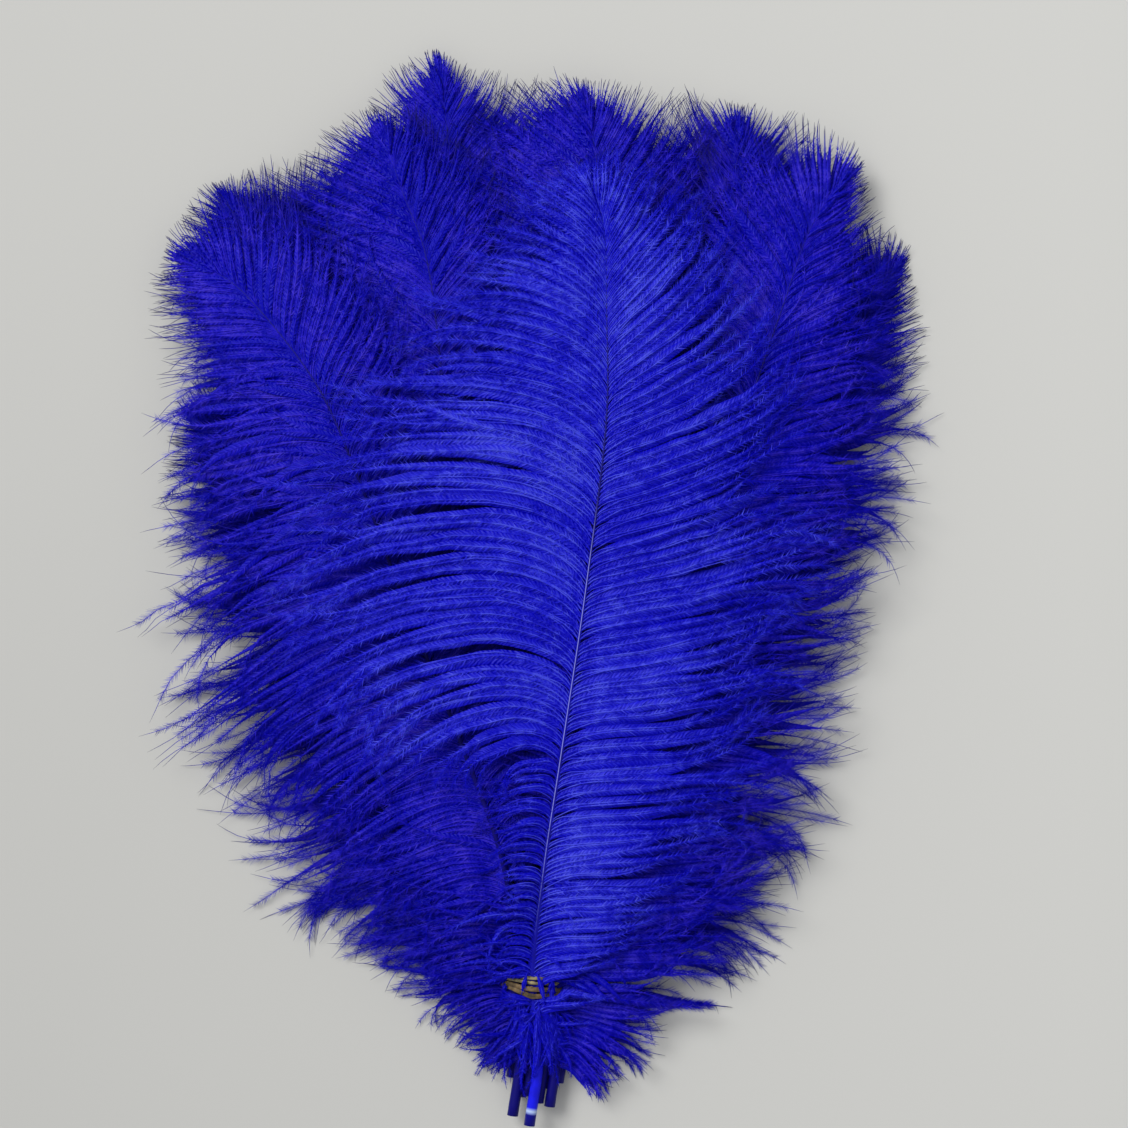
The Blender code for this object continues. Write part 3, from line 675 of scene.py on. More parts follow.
def filler_paths(plume, line, side, chance, settings):
    """Loose barbs that fill the upper end of a plume, at all angles."""
    count = settings.filler_count // 2
    at = chance.uniform(*habit_of(plume).filler, count) * line.end
    sway = chance.normal(0, FILLER_SWAY, count)
    if plume is not MAIN:
        cover = chance.random(count) < FILLER_COVER
        at = np.where(cover, chance.uniform(*COVER_AT, count) * line.end, at)
        sway = np.where(cover, chance.uniform(*COVER_SWAY, count), sway)
    own, length = barb_runs(plume, line, side, at, chance.uniform(*FILLER_REACH, count), sway,
                            chance.normal(0, 2 * settings.curl, count))
    steps = shares(own.shape[1])[None, :]
    lift = chance.uniform(*FILLER_LIFT, count)[:, None] * MM * smooth(steps / 0.5)
    lift = lift + FILLER_RISE * MM * smooth(steps / 0.1)
    paths = np.dstack([own, plume_height(plume, own[..., 0], own[..., 1]) + lift])
    return Barbs(paths, length, chance.uniform(*FILLER_TONE, count), chance.uniform(*FILLER_BARE, count),
                 np.where(chance.random(count) < settings.bed, BED, LEADER), np.full(count, LOOSE_FULL))


def down_paths(plume, line, side, chance, settings):
    """Loose downy barbs round the plume's foot, near the tie."""
    count = settings.down_count // 2
    at = chance.uniform(*DOWN_AT, count) * MM
    length = MM * np.where(at > 0, chance.uniform(*DOWN_LENGTH, count),
                           chance.uniform(*LOW_DOWN_LENGTH, count))
    leave = np.radians(chance.uniform(*DOWN_LEAVE, count) + LOW_DOWN_TURN * (at < 0))
    bend = np.radians(chance.normal(*DOWN_BEND, count) * DOWN_BEND_GAIN)
    plan = loose_runs(line.point(at), line.heading(at) - side * leave, -side * bend, length)
    plan = part_at_tie(plan, at, chance.random(count) > DOWN_OVER_BAND)
    share = shares(plan.shape[1])[None, :]
    rise = chance.uniform(*DOWN_RISE, count)[:, None] * MM
    height = plume_height(plume, plan[..., 0], plan[..., 1]) + rise * np.sin(np.pi * DOWN_ARCH * share)
    return Barbs(np.dstack([plan, height]), length, chance.uniform(*DOWN_TONE, count),
                 chance.uniform(*DOWN_BARE, count), np.full(count, LEADER), np.full(count, LOOSE_FULL))


def fluff_paths(side, chance, settings):
    """Down that spills from under the bands and lies over the quills."""
    count = settings.fluff_count // 2
    crosses = np.arange(count) < CROSSING
    x = BUNDLE_X + side * chance.uniform(*FLUFF_X, count) * MM
    below = np.where(crosses, chance.uniform(*CROSSING_BELOW, count), chance.uniform(*FLUFF_BELOW, count))
    length = MM * np.where(crosses, chance.uniform(*CROSSING_LENGTH, count),
                           chance.uniform(*FLUFF_LENGTH, count))
    lean = chance.normal(*FLUFF_LEAN, count)
    plan = loose_runs(np.stack([x, BAND_Y - below * MM], -1), np.radians(-90 + side * lean),
                      side * np.radians(chance.normal(*FLUFF_BEND, count)), length)
    share = shares(plan.shape[1])[None, :]
    away = np.abs(plan[..., 0] - np.interp(plan[..., 1], (BAND_Y - BEND_AT, BAND_Y),
                                           (BUNDLE_X + BEND_X, BUNDLE_X)))
    top = row_height(MAIN.row) + SHAFT_RADIUS[0] + FLUFF_OVER
    height = top - (top - FLUFF_END) * smooth(away / FLUFF_REACH)
    rise = (chance.uniform(*FLUFF_RISE, count) + CROSSING_RISE * crosses)[:, None] * MM
    height = height + rise * np.sin(np.pi * share)
    return Barbs(np.dstack([plan, height]), length, chance.uniform(*FLUFF_TONE, count),
                 chance.uniform(*DOWN_BARE, count), np.full(count, LEADER), np.full(count, LOOSE_FULL))


# where along its clad length a barb's web starts to narrow, and where it ends
STRAND_WEB = np.array((0.42, 0.84))
BED_WEB = np.array((0.62, 0.92))
FULL_WEB = np.array((0.74, 0.95))
WEB_BREADTH, BED_BREADTH, FULL_BREADTH, WEB_END = 0.9, 1.05, 0.6, 0.02
BED_SAG = 0.5
CREASE = 0.05 * MM
# painted shade on the web's two sides and a slight painted highlight on its ridge
EDGE_PAINTED_SHADE = np.array((-1.9, 0.3, -1.9))

# stems: how they taper, and where painted shade darkens them, their web and their barbules near the shaft;
# a painted highlight is added to the stems' tone along the web
STEM_TIP, STEM_TAPER, STEM_POINT, STEM_SINK = 0.35, 0.8, 0.3, 0.3
DARK_FOOT, DARK_WEB, DARK_BARBULES = 13.0 * MM, 2.4, 1.2
THIN_FOOT, THINNING, STEM_DARK_TO = 10.0 * MM, 0.4, 1.5
BED_LIGHT, WEB_END_LIGHT, FOLLOWER_DARK, FULL_DARK = 0.4, -1.0, 1.0, 1.6
TIP_SHADE = 0.86

# barbules: reach in shares of their barb or of the longest, angles in radians, tones in steps of the dye
BARE_FOOT = 3.5 * MM
LOOSE_FROM = 0.5
FULL_BARB, SHORT_BARBULES = 55.0 * MM, 0.5
FIRST_BARBULE, BARBULE_GAIN = 0.25 * MM, 0.36
BARBULE_TAPER = ((0, 0.6, 0.9, 1), (1, 1, 0.85, 0.5))
BED_TUFTS, NARROW_TUFT = 1.6, 0.6
# broad tufts get a painted highlight and narrow ones painted shade; broad ones also open a little wider
BROAD_VIVID, NARROW_VIVID, TUFT_PAINTED_LIGHT, VIVID_ANGLE = 0.6, -0.4, 1.4, 0.15
ANGLE_SPREAD, SINK_SHARE, SINK_SPREAD = 0.12, 0.45, 0.38
REACH_SPREAD, TWIST_SPREAD, TONE_SPREAD = (0.7, 1.2), 0.5, 0.5
LOOSE_TONE, LOOSE_FADE, TUFT_FADE = 0.5, 0.3, 1.6


def barbule_reach(share, length, settings):
    """Length of the barbules at a share of their barb's length."""
    longest = settings.barbule_length * np.clip(length / FULL_BARB, SHORT_BARBULES, 1.0)
    reach = np.minimum(FIRST_BARBULE + BARBULE_GAIN * share * length, longest)
    return reach * np.interp(share, *BARBULE_TAPER)


def add_roof(store, left, ridge, right, along, tone, strand=0.0):
    """A strip with a ridge, open underneath: the form of a web and of a stem."""
    a = (np.arange(len(ridge) - 1)[:, None] * 3 + np.arange(2)[None, :]).ravel()
    corners = np.vstack([np.stack([a, a + 3, a + 4], -1), np.stack([a, a + 4, a + 1], -1)])
    store.add(np.stack([left, ridge, right], 1), corners, np.repeat(along, 3), tone, strand)


def add_web(store, path, share, across, above, half, length, tone, lag, sag):
    """The matted barbules of a barb: a low roof that narrows to nothing towards the barb's end."""
    drop = above * (half * sag)[:, None]
    side = across * half[:, None]
    strand = (np.stack([share * length - lag, share * length, share * length - lag], 1) / MM).ravel()
    # painted shade: the web darkens towards the shaft, and its sides darken against its ridge
    shade = (tone - DARK_WEB * smooth(1 - share * length / DARK_FOOT))[:, None]
    add_roof(store, path - side - drop, path - above * CREASE, path + side - drop, share,
             (shade + EDGE_PAINTED_SHADE).ravel(), strand)


def add_stem(store, path, across, above, radius, shade, tone):
    """A barb's own stem: a narrow ridge."""
    side = across * radius[:, None]
    drop = above * radius[:, None]
    add_roof(store, path - side - STEM_SINK * drop, path + drop, path + side - STEM_SINK * drop, shade,
             np.repeat(tone, 3))


def add_barbules(store, path, share, run, spots, wide, vivid, length, tone, chance, settings):
    """Barbules on both sides of a barb: single triangles that taper to a point."""
    count = len(spots)
    spot = spots / length
    foot = np.stack([np.interp(spot, share, path[:, k]) for k in range(3)], -1)
    run = unit(np.stack([np.interp(spot, share, run[:, k]) for k in range(3)], -1))
    across = unit(np.cross(run, (0.0, 0.0, 1.0)))
    above = np.cross(across, run)
    reach = barbule_reach(spot, length, settings)
    for way in (LEFT, RIGHT):
        angle = settings.barbule_angle * (1 + VIVID_ANGLE * vivid + chance.normal(0, ANGLE_SPREAD, count))
        sink = settings.barbule_sink * SINK_SHARE + chance.normal(0, SINK_SPREAD, count)
        sideways = across * (way * np.cos(sink))[:, None] - above * np.sin(sink)[:, None]
        aim = run * np.cos(angle)[:, None] + sideways * np.sin(angle)[:, None]
        tip = foot + aim * (reach * chance.uniform(*REACH_SPREAD, count))[:, None]
        twist = above * (chance.normal(0, TWIST_SPREAD, count) * wide)[:, None]
        spread = run * wide[:, None]
        corners = np.arange(3 * count).reshape(-1, 3)
        # painted highlight on broad tufts and painted shade on narrow ones, with a random tone
        own = tone + TUFT_PAINTED_LIGHT * vivid + chance.normal(0, TONE_SPREAD, count) - LOOSE_TONE * (vivid == 0)
        # painted shade on the barbules near the shaft
        own = own - DARK_BARBULES * smooth(1 - spots / DARK_FOOT)
        fade = np.where(vivid == 0, LOOSE_FADE, TUFT_FADE)
        store.add(np.stack([foot - spread - twist, foot + spread + twist, tip], 1),
                  corners if way > 0 else corners[:, ::-1], np.repeat(spot, 3),
                  np.stack([own, own, own - fade], 1).ravel())


def add_barb(store, path, length, tone, bare, kind, full, chance, settings, pitches, light, shown):
    """One barb: its own stem, the web of matted barbules, and the barbules that stand out."""
    share = shares(len(path))
    bed = kind == BED
    run = unit(np.gradient(path, axis=0))
    across = unit(np.cross(run, (0.0, 0.0, 1.0)))
    above = np.cross(across, run)
    clad = 1 - bare
    narrows = BED_WEB if bed else STRAND_WEB
    narrows = narrows + (FULL_WEB - narrows) * full
    web_end = clad * narrows[1]
    if kind != FOLLOWER:
        broad = BED_BREADTH if bed else WEB_BREADTH
        broad = broad + (FULL_BREADTH - broad) * full
        half = barbule_reach(share, length, settings) * math.sin(settings.barbule_angle) * broad
        half = half * np.interp(share / clad, narrows, (1, WEB_END))
        sag = math.tan(settings.barbule_sink) * (BED_SAG if bed else 1.0)
        last = int(np.searchsorted(share, web_end)) + 1
        lag = half / math.tan(settings.barbule_angle)
        add_web(store, path[:last], share[:last], across[:last], above[:last], half[:last], length, tone,
                lag[:last], sag)

    radius = (settings.ramus_width / 2) * (STEM_TIP + (1 - STEM_TIP) * (1 - share) ** STEM_TAPER)
    radius = radius * (1 - THINNING * smooth(1 - share * length / THIN_FOOT))
    radius[-1] *= STEM_POINT
    # painted highlight along the stem over its web, turning darker past the web's end and weaker on bed
    # barbs; then painted shade on the stem near the shaft
    stem_painted_light = np.interp(share / clad, (0, *narrows), (1, 1, WEB_END_LIGHT)) * (BED_LIGHT if bed else light)
    dark = FOLLOWER_DARK if kind == FOLLOWER else FULL_DARK * full
    stem_painted_light = stem_painted_light - dark * smooth(STEM_DARK_TO - share * length / THIN_FOOT)
    shade = np.interp(share, (0, clad, 1), (0, TIP_SHADE, 1))
    add_stem(store, path, across, above, radius, shade, tone + stem_painted_light)

    # tufts on the web, every second one broad with a painted highlight and the others narrow with painted
    # shade, and single barbules past its end
    follows = kind == FOLLOWER
    web_to = (LOOSE_FROM if follows else web_end) * length
    tuft_pitch = pitches[0] * (BED_TUFTS if bed else 1.0)
    tufts = np.empty(0) if follows else np.arange(BARE_FOOT, web_to, tuft_pitch)
    loose = np.arange(max(web_to, BARE_FOOT), clad * length, pitches[1])
    spots = np.r_[tufts, loose]
    odd = np.arange(len(tufts)) % 2 == 0
    broad_tuft = np.where(odd, settings.tuft_width, NARROW_TUFT * settings.tuft_width)
    wide = np.r_[broad_tuft, np.full(len(loose), settings.barbule_width)]
    vivid = np.r_[np.where(odd, BROAD_VIVID, NARROW_VIVID), np.zeros(len(loose))]
    kept = chance.random(len(spots)) < np.interp(spots / length, share, shown)
    if np.count_nonzero(kept) > 1:
        add_barbules(store, path, share, run, spots[kept], wide[kept] / 2, vivid[kept], length, tone,
                     chance, settings)


RIM_REACH = 0.85


def vane_outline(plume):
    """Rim of a plume's vanes in plan, drawn in a little from the barbs' tips."""
    line = ShaftLine(plume)
    rims = []
    for side in (LEFT, RIGHT):
        at = np.linspace(max(plume.start) * MM, line.end - 1 * MM, 60)
        places, _ = barb_runs(plume, line, side, at, np.full(len(at), RIM_REACH), 0.0, 0.0)
        rims.append(places[:, -1])
    return np.vstack([rims[0], rims[1][::-1]])


def inside(outline, x, y):
    """Whether points lie inside an outline, by counting its crossings."""
    hits = np.zeros(x.shape, int)
    for (ax, ay), (bx, by) in zip(outline, np.roll(outline, -1, axis=0)):
        spans = (ay > y) != (by > y)
        hits += spans & (x < ax + (bx - ax) * (y - ay) / (by - ay if by != ay else 1.0))
    return hits % 2 == 1


def grow_vane(plume, side, settings, material):
    """All barbs on one side of a plume, as one piece."""
    chance = np.random.default_rng([PLUMES.index(plume), side + 1])
    line = ShaftLine(plume)
    main = plume is MAIN
    pitch = settings.main_pitch if main else settings.under_pitch
    tuft_pitch = settings.main_tuft_pitch if main else settings.under_tuft_pitch
    barbule_pitch = settings.main_barbule_pitch if main else settings.under_barbule_pitch
    # strength of the painted highlight on this plume's stems
    light = settings.main_stem_highlight if main else settings.under_stem_highlight
    store = MeshStore()
    groups = [vane_paths(plume, line, side, chance, settings, pitch),
              down_paths(plume, line, side, chance, settings),
              filler_paths(plume, line, side, chance, settings)]
    if main:
        groups.append(fluff_paths(side, chance, settings))
    cover = None if main else vane_outline(MAIN)
    # painted shade: plumes lower in the pile are coloured darker
    layer_shade = settings.layer_painted_shade * (MAIN.layer - plume.layer)
    for barbs in groups:
        shown = np.ones(barbs.paths.shape[:2])
        if cover is not None:
            hidden = inside(cover, barbs.paths[..., 0], barbs.paths[..., 1])
            shown[hidden] = 1 - settings.thinning
        for k, (path, length, tone, bare, kind, full) in enumerate(zip(*barbs)):
            add_barb(store, path, length, tone - layer_shade, bare, kind, full, chance, settings,
                     (tuft_pitch, barbule_pitch), light, shown[k])
    piece = store.piece(plume.name + ("_left_barbs" if side < 0 else "_right_barbs"), material)
    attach(piece, BODY)
    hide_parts(plume.name)
    return piece


# --- shafts --------------------------------------------------------------------------------------

MAIN_SHAFT_SIDES = 20
UNDER_SHAFT_SIDES = 12
SHAFT_STEP = 4.0 * MM
BORE_SHARE = 0.62
BORE_DEPTH = 2.5 * MM
CUT_EDGE = 0.97


def grow_shaft(plume, material):
    """A plume's quill and shaft in one tapered tube, hollow at the cut end.

    Its strand value runs from 0 at the right to 1 at the left, for the painted highlight along the ridge in
    the material.
    """
    line = ShaftLine(plume)
    sides = MAIN_SHAFT_SIDES if plume is MAIN else UNDER_SHAFT_SIDES
    count = int((line.end - line.start) / SHAFT_STEP)
    at = np.linspace(line.start, line.end, count)
    plan = line.point(at)
    heading = line.heading(at)
    centre = np.dstack([plan[None], plume_height(plume, plan[:, 0], plan[:, 1])[None]])[0]
    right = np.stack([np.sin(heading), -np.cos(heading), np.zeros(count)], -1)
    radius = np.interp(at, SHAFT_AT, SHAFT_RADIUS)
    mouth = centre[:1] + [[0.0, BORE_DEPTH, 0.0]]
    centre = np.vstack([mouth, centre[:1], centre[:1], centre])
    right = np.vstack([right[:1]] * 3 + [right])
    radius = np.r_[radius[0] * BORE_SHARE, radius[0] * BORE_SHARE, radius[0] * CUT_EDGE, radius]
    along = np.r_[0.0, 0.0, 0.0, (at - line.start)] / (line.end - line.start)
    angle = 2 * np.pi * np.arange(sides) / sides
    above = np.array((0.0, 0.0, 1.0))
    places = (centre[:, None] + radius[:, None, None]
              * (right[:, None] * np.cos(angle)[None, :, None] + above * np.sin(angle)[None, :, None]))
    store = MeshStore()
    rings = len(centre)
    leftward = np.tile((1 - np.cos(angle)) / 2, rings)
    store.add(places, tube_corners(rings, sides), np.repeat(along, sides), 0.0, leftward)
    for ring in (0, rings - 1):
        fan = np.stack([np.zeros(sides - 2, int), np.arange(1, sides - 1), np.arange(2, sides)], -1)
        store.add(places[ring], fan if ring else fan[:, ::-1], along[ring], 0.0)
    piece = store.piece(plume.name + "_shaft", material)
    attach(piece, BODY)
    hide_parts(plume.name)
    return piece


# --- rubber bands --------------------------------------------------------------------------------

BAND_THICK = 1.0 * MM
BAND_GAP = 0.35 * MM
BAND_SECTION = 12
BAND_STEPS = 150
BAND_HUMP = math.radians(75)
BAND_SWAP = math.radians(70)
BAND_EDGE = 11.0 * MM
BAND_SQUARE = 0.6
BAND_WAVES, BAND_WAVE = (3, 5, 9, 17), (0.1, 0.3)
WAVE_SHIFT, WAVE_LIFT, WAVE_WIDTH = 0.25 * MM, 0.2 * MM, 0.3
TOP_FROM, TOP_OVER = 0.15, 0.5


class Band(NamedTuple):
    """A doubled band: node, middle, where its turns cross, width, and how each turn lies over the top."""

    node: str
    middle: float
    cross_at: float
    width: float
    lays: tuple  # mm along Y at the left edge, the middle and the right edge
    slot: str
    seed: int


BANDS = (
    Band("upper_rubber_band", BAND_TURN_PITCH, math.radians(165), 1.2 * MM,
         ((4.8, 3.7, 2.4), (3.2, 2.0, 0.6)), "pale_rubber", 11),
    Band("lower_rubber_band", -BAND_TURN_PITCH, math.radians(170), 1.8 * MM,
         ((2.0, -0.3, -1.4), (1.2, -2.9, -3.5)), "brown_rubber", 12),
)


def round_the_quills():
    """Places on a band's inner face in plan of X and Z, read by the outward direction."""
    centres = np.array([(BUNDLE_X + p.place * QUILL_PITCH, row_height(p.row)) for p in PLUMES])
    reach = np.interp(0.0, SHAFT_AT, SHAFT_RADIUS) + BAND_GAP
    angle = np.linspace(0, 2 * np.pi, 721)
    outward = np.stack([np.cos(angle), np.sin(angle)], -1)
    quill = np.argmax(np.round(centres @ outward.T / MM, 4), axis=0)
    place = centres[quill] + outward * reach
    run = np.r_[0.0, np.cumsum(np.linalg.norm(np.diff(place, axis=0), axis=1))]
    steps = np.linspace(0, run[-1], BAND_STEPS, endpoint=False)
    place = np.stack([np.interp(steps, run, place[:, k]) for k in (0, 1)], -1)
    return place, np.interp(steps, run, angle)


def make_band(band, material):
    """A doubled band of worn rubber: two turns that pass over each other at the side of the bundle."""
    chance = np.random.default_rng(band.seed)
    place, around = round_the_quills()
    off = np.remainder(around - band.cross_at + np.pi, 2 * np.pi) - np.pi
    order = np.argsort(off)
    place, around, off = place[order], around[order], off[order]
    on_top = smooth((np.sin(around) - TOP_FROM) / TOP_OVER)
    outward = np.stack([np.cos(around), np.zeros(len(off)), np.sin(around)], -1)
    section = 2 * np.pi * np.arange(BAND_SECTION) / BAND_SECTION
    rings = []
    for turn, lay in enumerate(band.lays):
        swap = smooth(0.5 + off / BAND_SWAP) - 0.5
        shift = swap if turn == 0 else -swap
        over = smooth(1 - np.abs(off) / BAND_HUMP) if turn == 0 else np.zeros(len(off))
        wave = sum(chance.uniform(*BAND_WAVE) * np.sin(n * off + chance.uniform(0, 6)) for n in BAND_WAVES)
        plain = band.middle + BAND_TURN_PITCH * shift
        lies = np.interp(place[:, 0] - BUNDLE_X, (-BAND_EDGE, 0.0, BAND_EDGE), [y * MM for y in lay])
        y = BAND_Y + plain + (lies - plain) * on_top + WAVE_SHIFT * wave
        rise = over * (BAND_THICK + BAND_GAP) + BAND_THICK / 2 + WAVE_LIFT * (1 + wave) * on_top
        centre = np.stack([place[:, 0], y, place[:, 1]], -1) + outward * rise[:, None]
        width = band.width / 2 * (1 + WAVE_WIDTH * wave)
        round_y, round_out = (np.sign(turn_of) * np.abs(turn_of) ** BAND_SQUARE
                              for turn_of in (np.cos(section), np.sin(section)))
        ring = centre[:, None] + (round_out * BAND_THICK / 2)[None, :, None] * outward[:, None]
        ring[..., 1] += round_y[None, :] * width[:, None]
        rings.append(ring)
    store = MeshStore()
    rings = np.vstack(rings)
    store.add(rings, tube_corners(len(rings), BAND_SECTION, closed=True), 0.5, 0.0)
    piece = store.piece(band.node + "_rubber", material)
    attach(piece, BODY)
    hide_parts(band.node)
    return piece


# --- materials -----------------------------------------------------------------------------------

# stroke marks of the barbules along a barb: pitch in mm, and how far noise shifts and brightens them; each
# stroke is coloured lighter on its crest and darker in its trough, painted highlight and painted shade that
# follow the bump
STROKE_PITCH = 1.6
STROKE_SHIFT = 4.0
STROKE_SHIFT_SCALE = 240.0
STROKE_PAINTED_LIGHT = 0.8
FLICKER = 2.5


def new_material(name, roughness=0.5, specular=0.5):
    material = bpy.data.materials.new(name)
    material.use_nodes = True
    nodes = material.node_tree.nodes
    shader = nodes["Principled BSDF"]
    shader.inputs["Roughness"].default_value = roughness
    shader.inputs["Specular IOR Level"].default_value = specular
    return material, nodes, material.node_tree.links, shader


def new_group(name, inputs, outputs):
    """A shader node group with its sockets: (name, type, default) in, (name, type) out."""
    group = bpy.data.node_groups.new(name, "ShaderNodeTree")
    for label, kind, default in inputs:
        socket = group.interface.new_socket(name=label, in_out="INPUT", socket_type=kind)
        socket.default_value = default
    for label, kind in outputs:
        group.interface.new_socket(name=label, in_out="OUTPUT", socket_type=kind)
    inward, outward = group.nodes.new("NodeGroupInput"), group.nodes.new("NodeGroupOutput")
    return group, inward.outputs, outward.inputs


def feed(links, socket, source):
    """Links a socket to another one, or sets its value or colour."""
    if isinstance(source, bpy.types.NodeSocket):
        links.new(source, socket)
    elif isinstance(source, (int, float)):
        socket.default_value = source
    else:
        socket.default_value = (*source, 1.0)


def math_node(nodes, links, operation, *sources):
    node = nodes.new("ShaderNodeMath")
    node.operation = operation
    for socket, source in zip(node.inputs, sources):
        feed(links, socket, source)
    return node.outputs[0]


def mix_node(nodes, links, factor, first, second):
    """Colour mix."""
    node = nodes.new("ShaderNodeMix")
    node.data_type = "RGBA"
    for socket, source in ((node.inputs[0], factor), (node.inputs[6], first), (node.inputs[7], second)):
        feed(links, socket, source)
    return node.outputs[2]


def ramp_node(nodes, links, source, stops):
    """Grey ramp through the given (place, value) stops."""
    node = nodes.new("ShaderNodeValToRGB")
    while len(node.color_ramp.elements) < len(stops):
        node.color_ramp.elements.new(0.5)
    for element, (place, value) in zip(node.color_ramp.elements, stops):
        element.position = place
        element.color = (value, value, value, 1.0)
    links.new(source, node.inputs[0])
    return node.outputs["Color"]


def own_place(nodes):
    return nodes.new("ShaderNodeTexCoord").outputs["Object"]


def noise_node(nodes, links, place, scale, detail=2.0):
    node = nodes.new("ShaderNodeTexNoise")
    for label, source in (("Vector", place), ("Scale", scale), ("Detail", detail)):
        feed(links, node.inputs[label], source)
    return node.outputs["Fac"]


def attribute_node(nodes, label):
    node = nodes.new("ShaderNodeAttribute")
    node.attribute_name = label
    return node.outputs["Fac"]


def bump_node(nodes, links, shader, height, strength, distance):
    node = nodes.new("ShaderNodeBump")
    for label, source in (("Height", height), ("Strength", strength), ("Distance", distance)):
        feed(links, node.inputs[label], source)
    links.new(node.outputs["Normal"], shader.inputs["Normal"])


def group_node(nodes, links, group, sources):
    """A use of a node group, with its named inputs fed."""
    node = nodes.new("ShaderNodeGroup")
    node.node_tree = group
    for label, source in sources.items():
        feed(links, node.inputs[label], source)
    return node.outputs


def dye_group():
    """Uneven dye: lighter and darker patches, and a tone that differs from strand to strand. Low tones mix
    towards the deep colour and high ones towards the crest colour; on the barbs these are painted shade and
    painted highlight.
    """
    group, given, result = new_group(
        "Uneven dye and painted light",
        (("Dye", "NodeSocketColor", (0, 0, 1, 1)), ("Deep dye", "NodeSocketColor", (0, 0, 0.1, 1)),
         ("Crest", "NodeSocketColor", (0.1, 0.1, 1, 1)),
         ("Tone", "NodeSocketFloat", 0.0), ("Patch size", "NodeSocketFloat", 40.0)),
        (("Color", "NodeSocketColor"),))
    nodes, links = group.nodes, group.links
    patches = noise_node(nodes, links, own_place(nodes), given["Patch size"], 3.0)
    tone = math_node(nodes, links, "MULTIPLY_ADD", given["Tone"], 0.2, patches)
    # low tones mix towards the deep colour, which on the barbs is painted shade
    vivid = ramp_node(nodes, links, tone, ((0.15, 0.0), (0.55, 1.0)))
    colour = mix_node(nodes, links, vivid, given["Deep dye"], given["Dye"])
    # high tones mix towards the crest colour, which on the barbs is a painted highlight
    crest = ramp_node(nodes, links, tone, ((0.55, 0.0), (0.95, 1.0)))
    links.new(mix_node(nodes, links, crest, colour, given["Crest"]), result["Color"])
    return group


def barb_material(finish, group, top):
    """Dyed barbs: soft blue fibre that ends in dark hairs, with painted highlights on the stems and painted
    shade in the valleys; the lower plumes' copy is painted darker still, as painted shade.
    """
    material, nodes, links, shader = new_material("Dyed top barbs with painted light" if top else "Dyed lower barbs in painted shade", 0.42,
                                                  0.14 if top else 0.1)
    shift = noise_node(nodes, links, own_place(nodes), STROKE_SHIFT_SCALE)
    centred = math_node(nodes, links, "SUBTRACT", shift, 0.5)
    moved = math_node(nodes, links, "MULTIPLY_ADD", centred, STROKE_SHIFT, attribute_node(nodes, "strand"))
    turns = math_node(nodes, links, "MULTIPLY", moved, 2 * math.pi / STROKE_PITCH)
    strokes = math_node(nodes, links, "SINE", turns)
    flicker = math_node(nodes, links, "MULTIPLY_ADD", centred, FLICKER, attribute_node(nodes, "tone"))
    # painted highlight and painted shade along the barbule strokes
    tone = math_node(nodes, links, "MULTIPLY_ADD", strokes, STROKE_PAINTED_LIGHT, flicker)
    # painted shade: the lower plumes' colours are scaled down, green the most, for the shade they lie in
    # under the top plume
    share = 1.0 if top else finish.lower_painted_shade
    # the dye, the painted shade colour of the valleys and the painted highlight colour of the crests
    parts = (("Dye", finish.fibre), ("Deep dye", finish.painted_shade), ("Crest", finish.crest))
    dyes = {label: (red * share, green * share ** 4, blue * share) for label, (red, green, blue) in parts}
    dyed = group_node(nodes, links, group, {**dyes, "Patch size": 32.0, "Tone": tone})
    ends = ramp_node(nodes, links, attribute_node(nodes, "along"), ((0.88, 0.0), (1.0, 1.0)))
    links.new(mix_node(nodes, links, ends, dyed["Color"], finish.tip), shader.inputs["Base Color"])
    bump_node(nodes, links, shader, strokes, 0.6, 0.12 * MM)
    shader.inputs["Sheen Weight"].default_value = 0.03
    shader.inputs["Sheen Roughness"].default_value = 0.4
    shader.inputs["Sheen Tint"].default_value = (0.45, 0.5, 1.0, 1.0)
    return material


# marks on the top plume's shaft, as (share of its length, strength)
BRIGHT_QUILL = ((0.012, 0.1), (0.016, 1.0), (0.09, 1.0), (0.14, 0.35), (0.55, 0.3), (0.65, 0.0))
# where along the shaft and how far round it the painted highlight lies: just left of its top, towards the
# lamp
SHAFT_HIGHLIGHT_RUN = ((0.2, 0.0), (0.34, 0.8), (0.6, 1.0), (0.67, 0.0))
SHAFT_HIGHLIGHT_LEFTWARD = ((0.5, 0.0), (0.54, 1.0), (0.6, 1.0), (0.66, 0.0))
RING = ((0.0145, 0.0), (0.0155, 0.9), (0.018, 0.9), (0.0195, 0.0))


def shaft_material(finish, group, main):
    """Dyed horn; the top plume's shaft has a painted highlight along its ridge, left of its middle, and a
    ring at its cut end.
    """
    material, nodes, links, shader = new_material("Dyed top shaft with painted highlight" if main else "Dyed shaft",
                                                  0.35 if main else 0.45, 0.12)
    dye = finish.main_quill if main else finish.quill
    colour = group_node(nodes, links, group, {"Dye": dye, "Crest": dye, "Deep dye": finish.deep,
                                              "Patch size": 120.0})["Color"]
    if main:
        along = attribute_node(nodes, "along")
        colour = mix_node(nodes, links, ramp_node(nodes, links, along, BRIGHT_QUILL), finish.quill, colour)
        # painted highlight along the shaft's ridge, left of its top
        line = ramp_node(nodes, links, attribute_node(nodes, "strand"), SHAFT_HIGHLIGHT_LEFTWARD)
        ridge = math_node(nodes, links, "MULTIPLY", line, ramp_node(nodes, links, along, SHAFT_HIGHLIGHT_RUN))
        colour = mix_node(nodes, links, ridge, colour, finish.ridge)
        colour = mix_node(nodes, links, ramp_node(nodes, links, along, RING), colour, finish.ring)
    links.new(colour, shader.inputs["Base Color"])
    return material


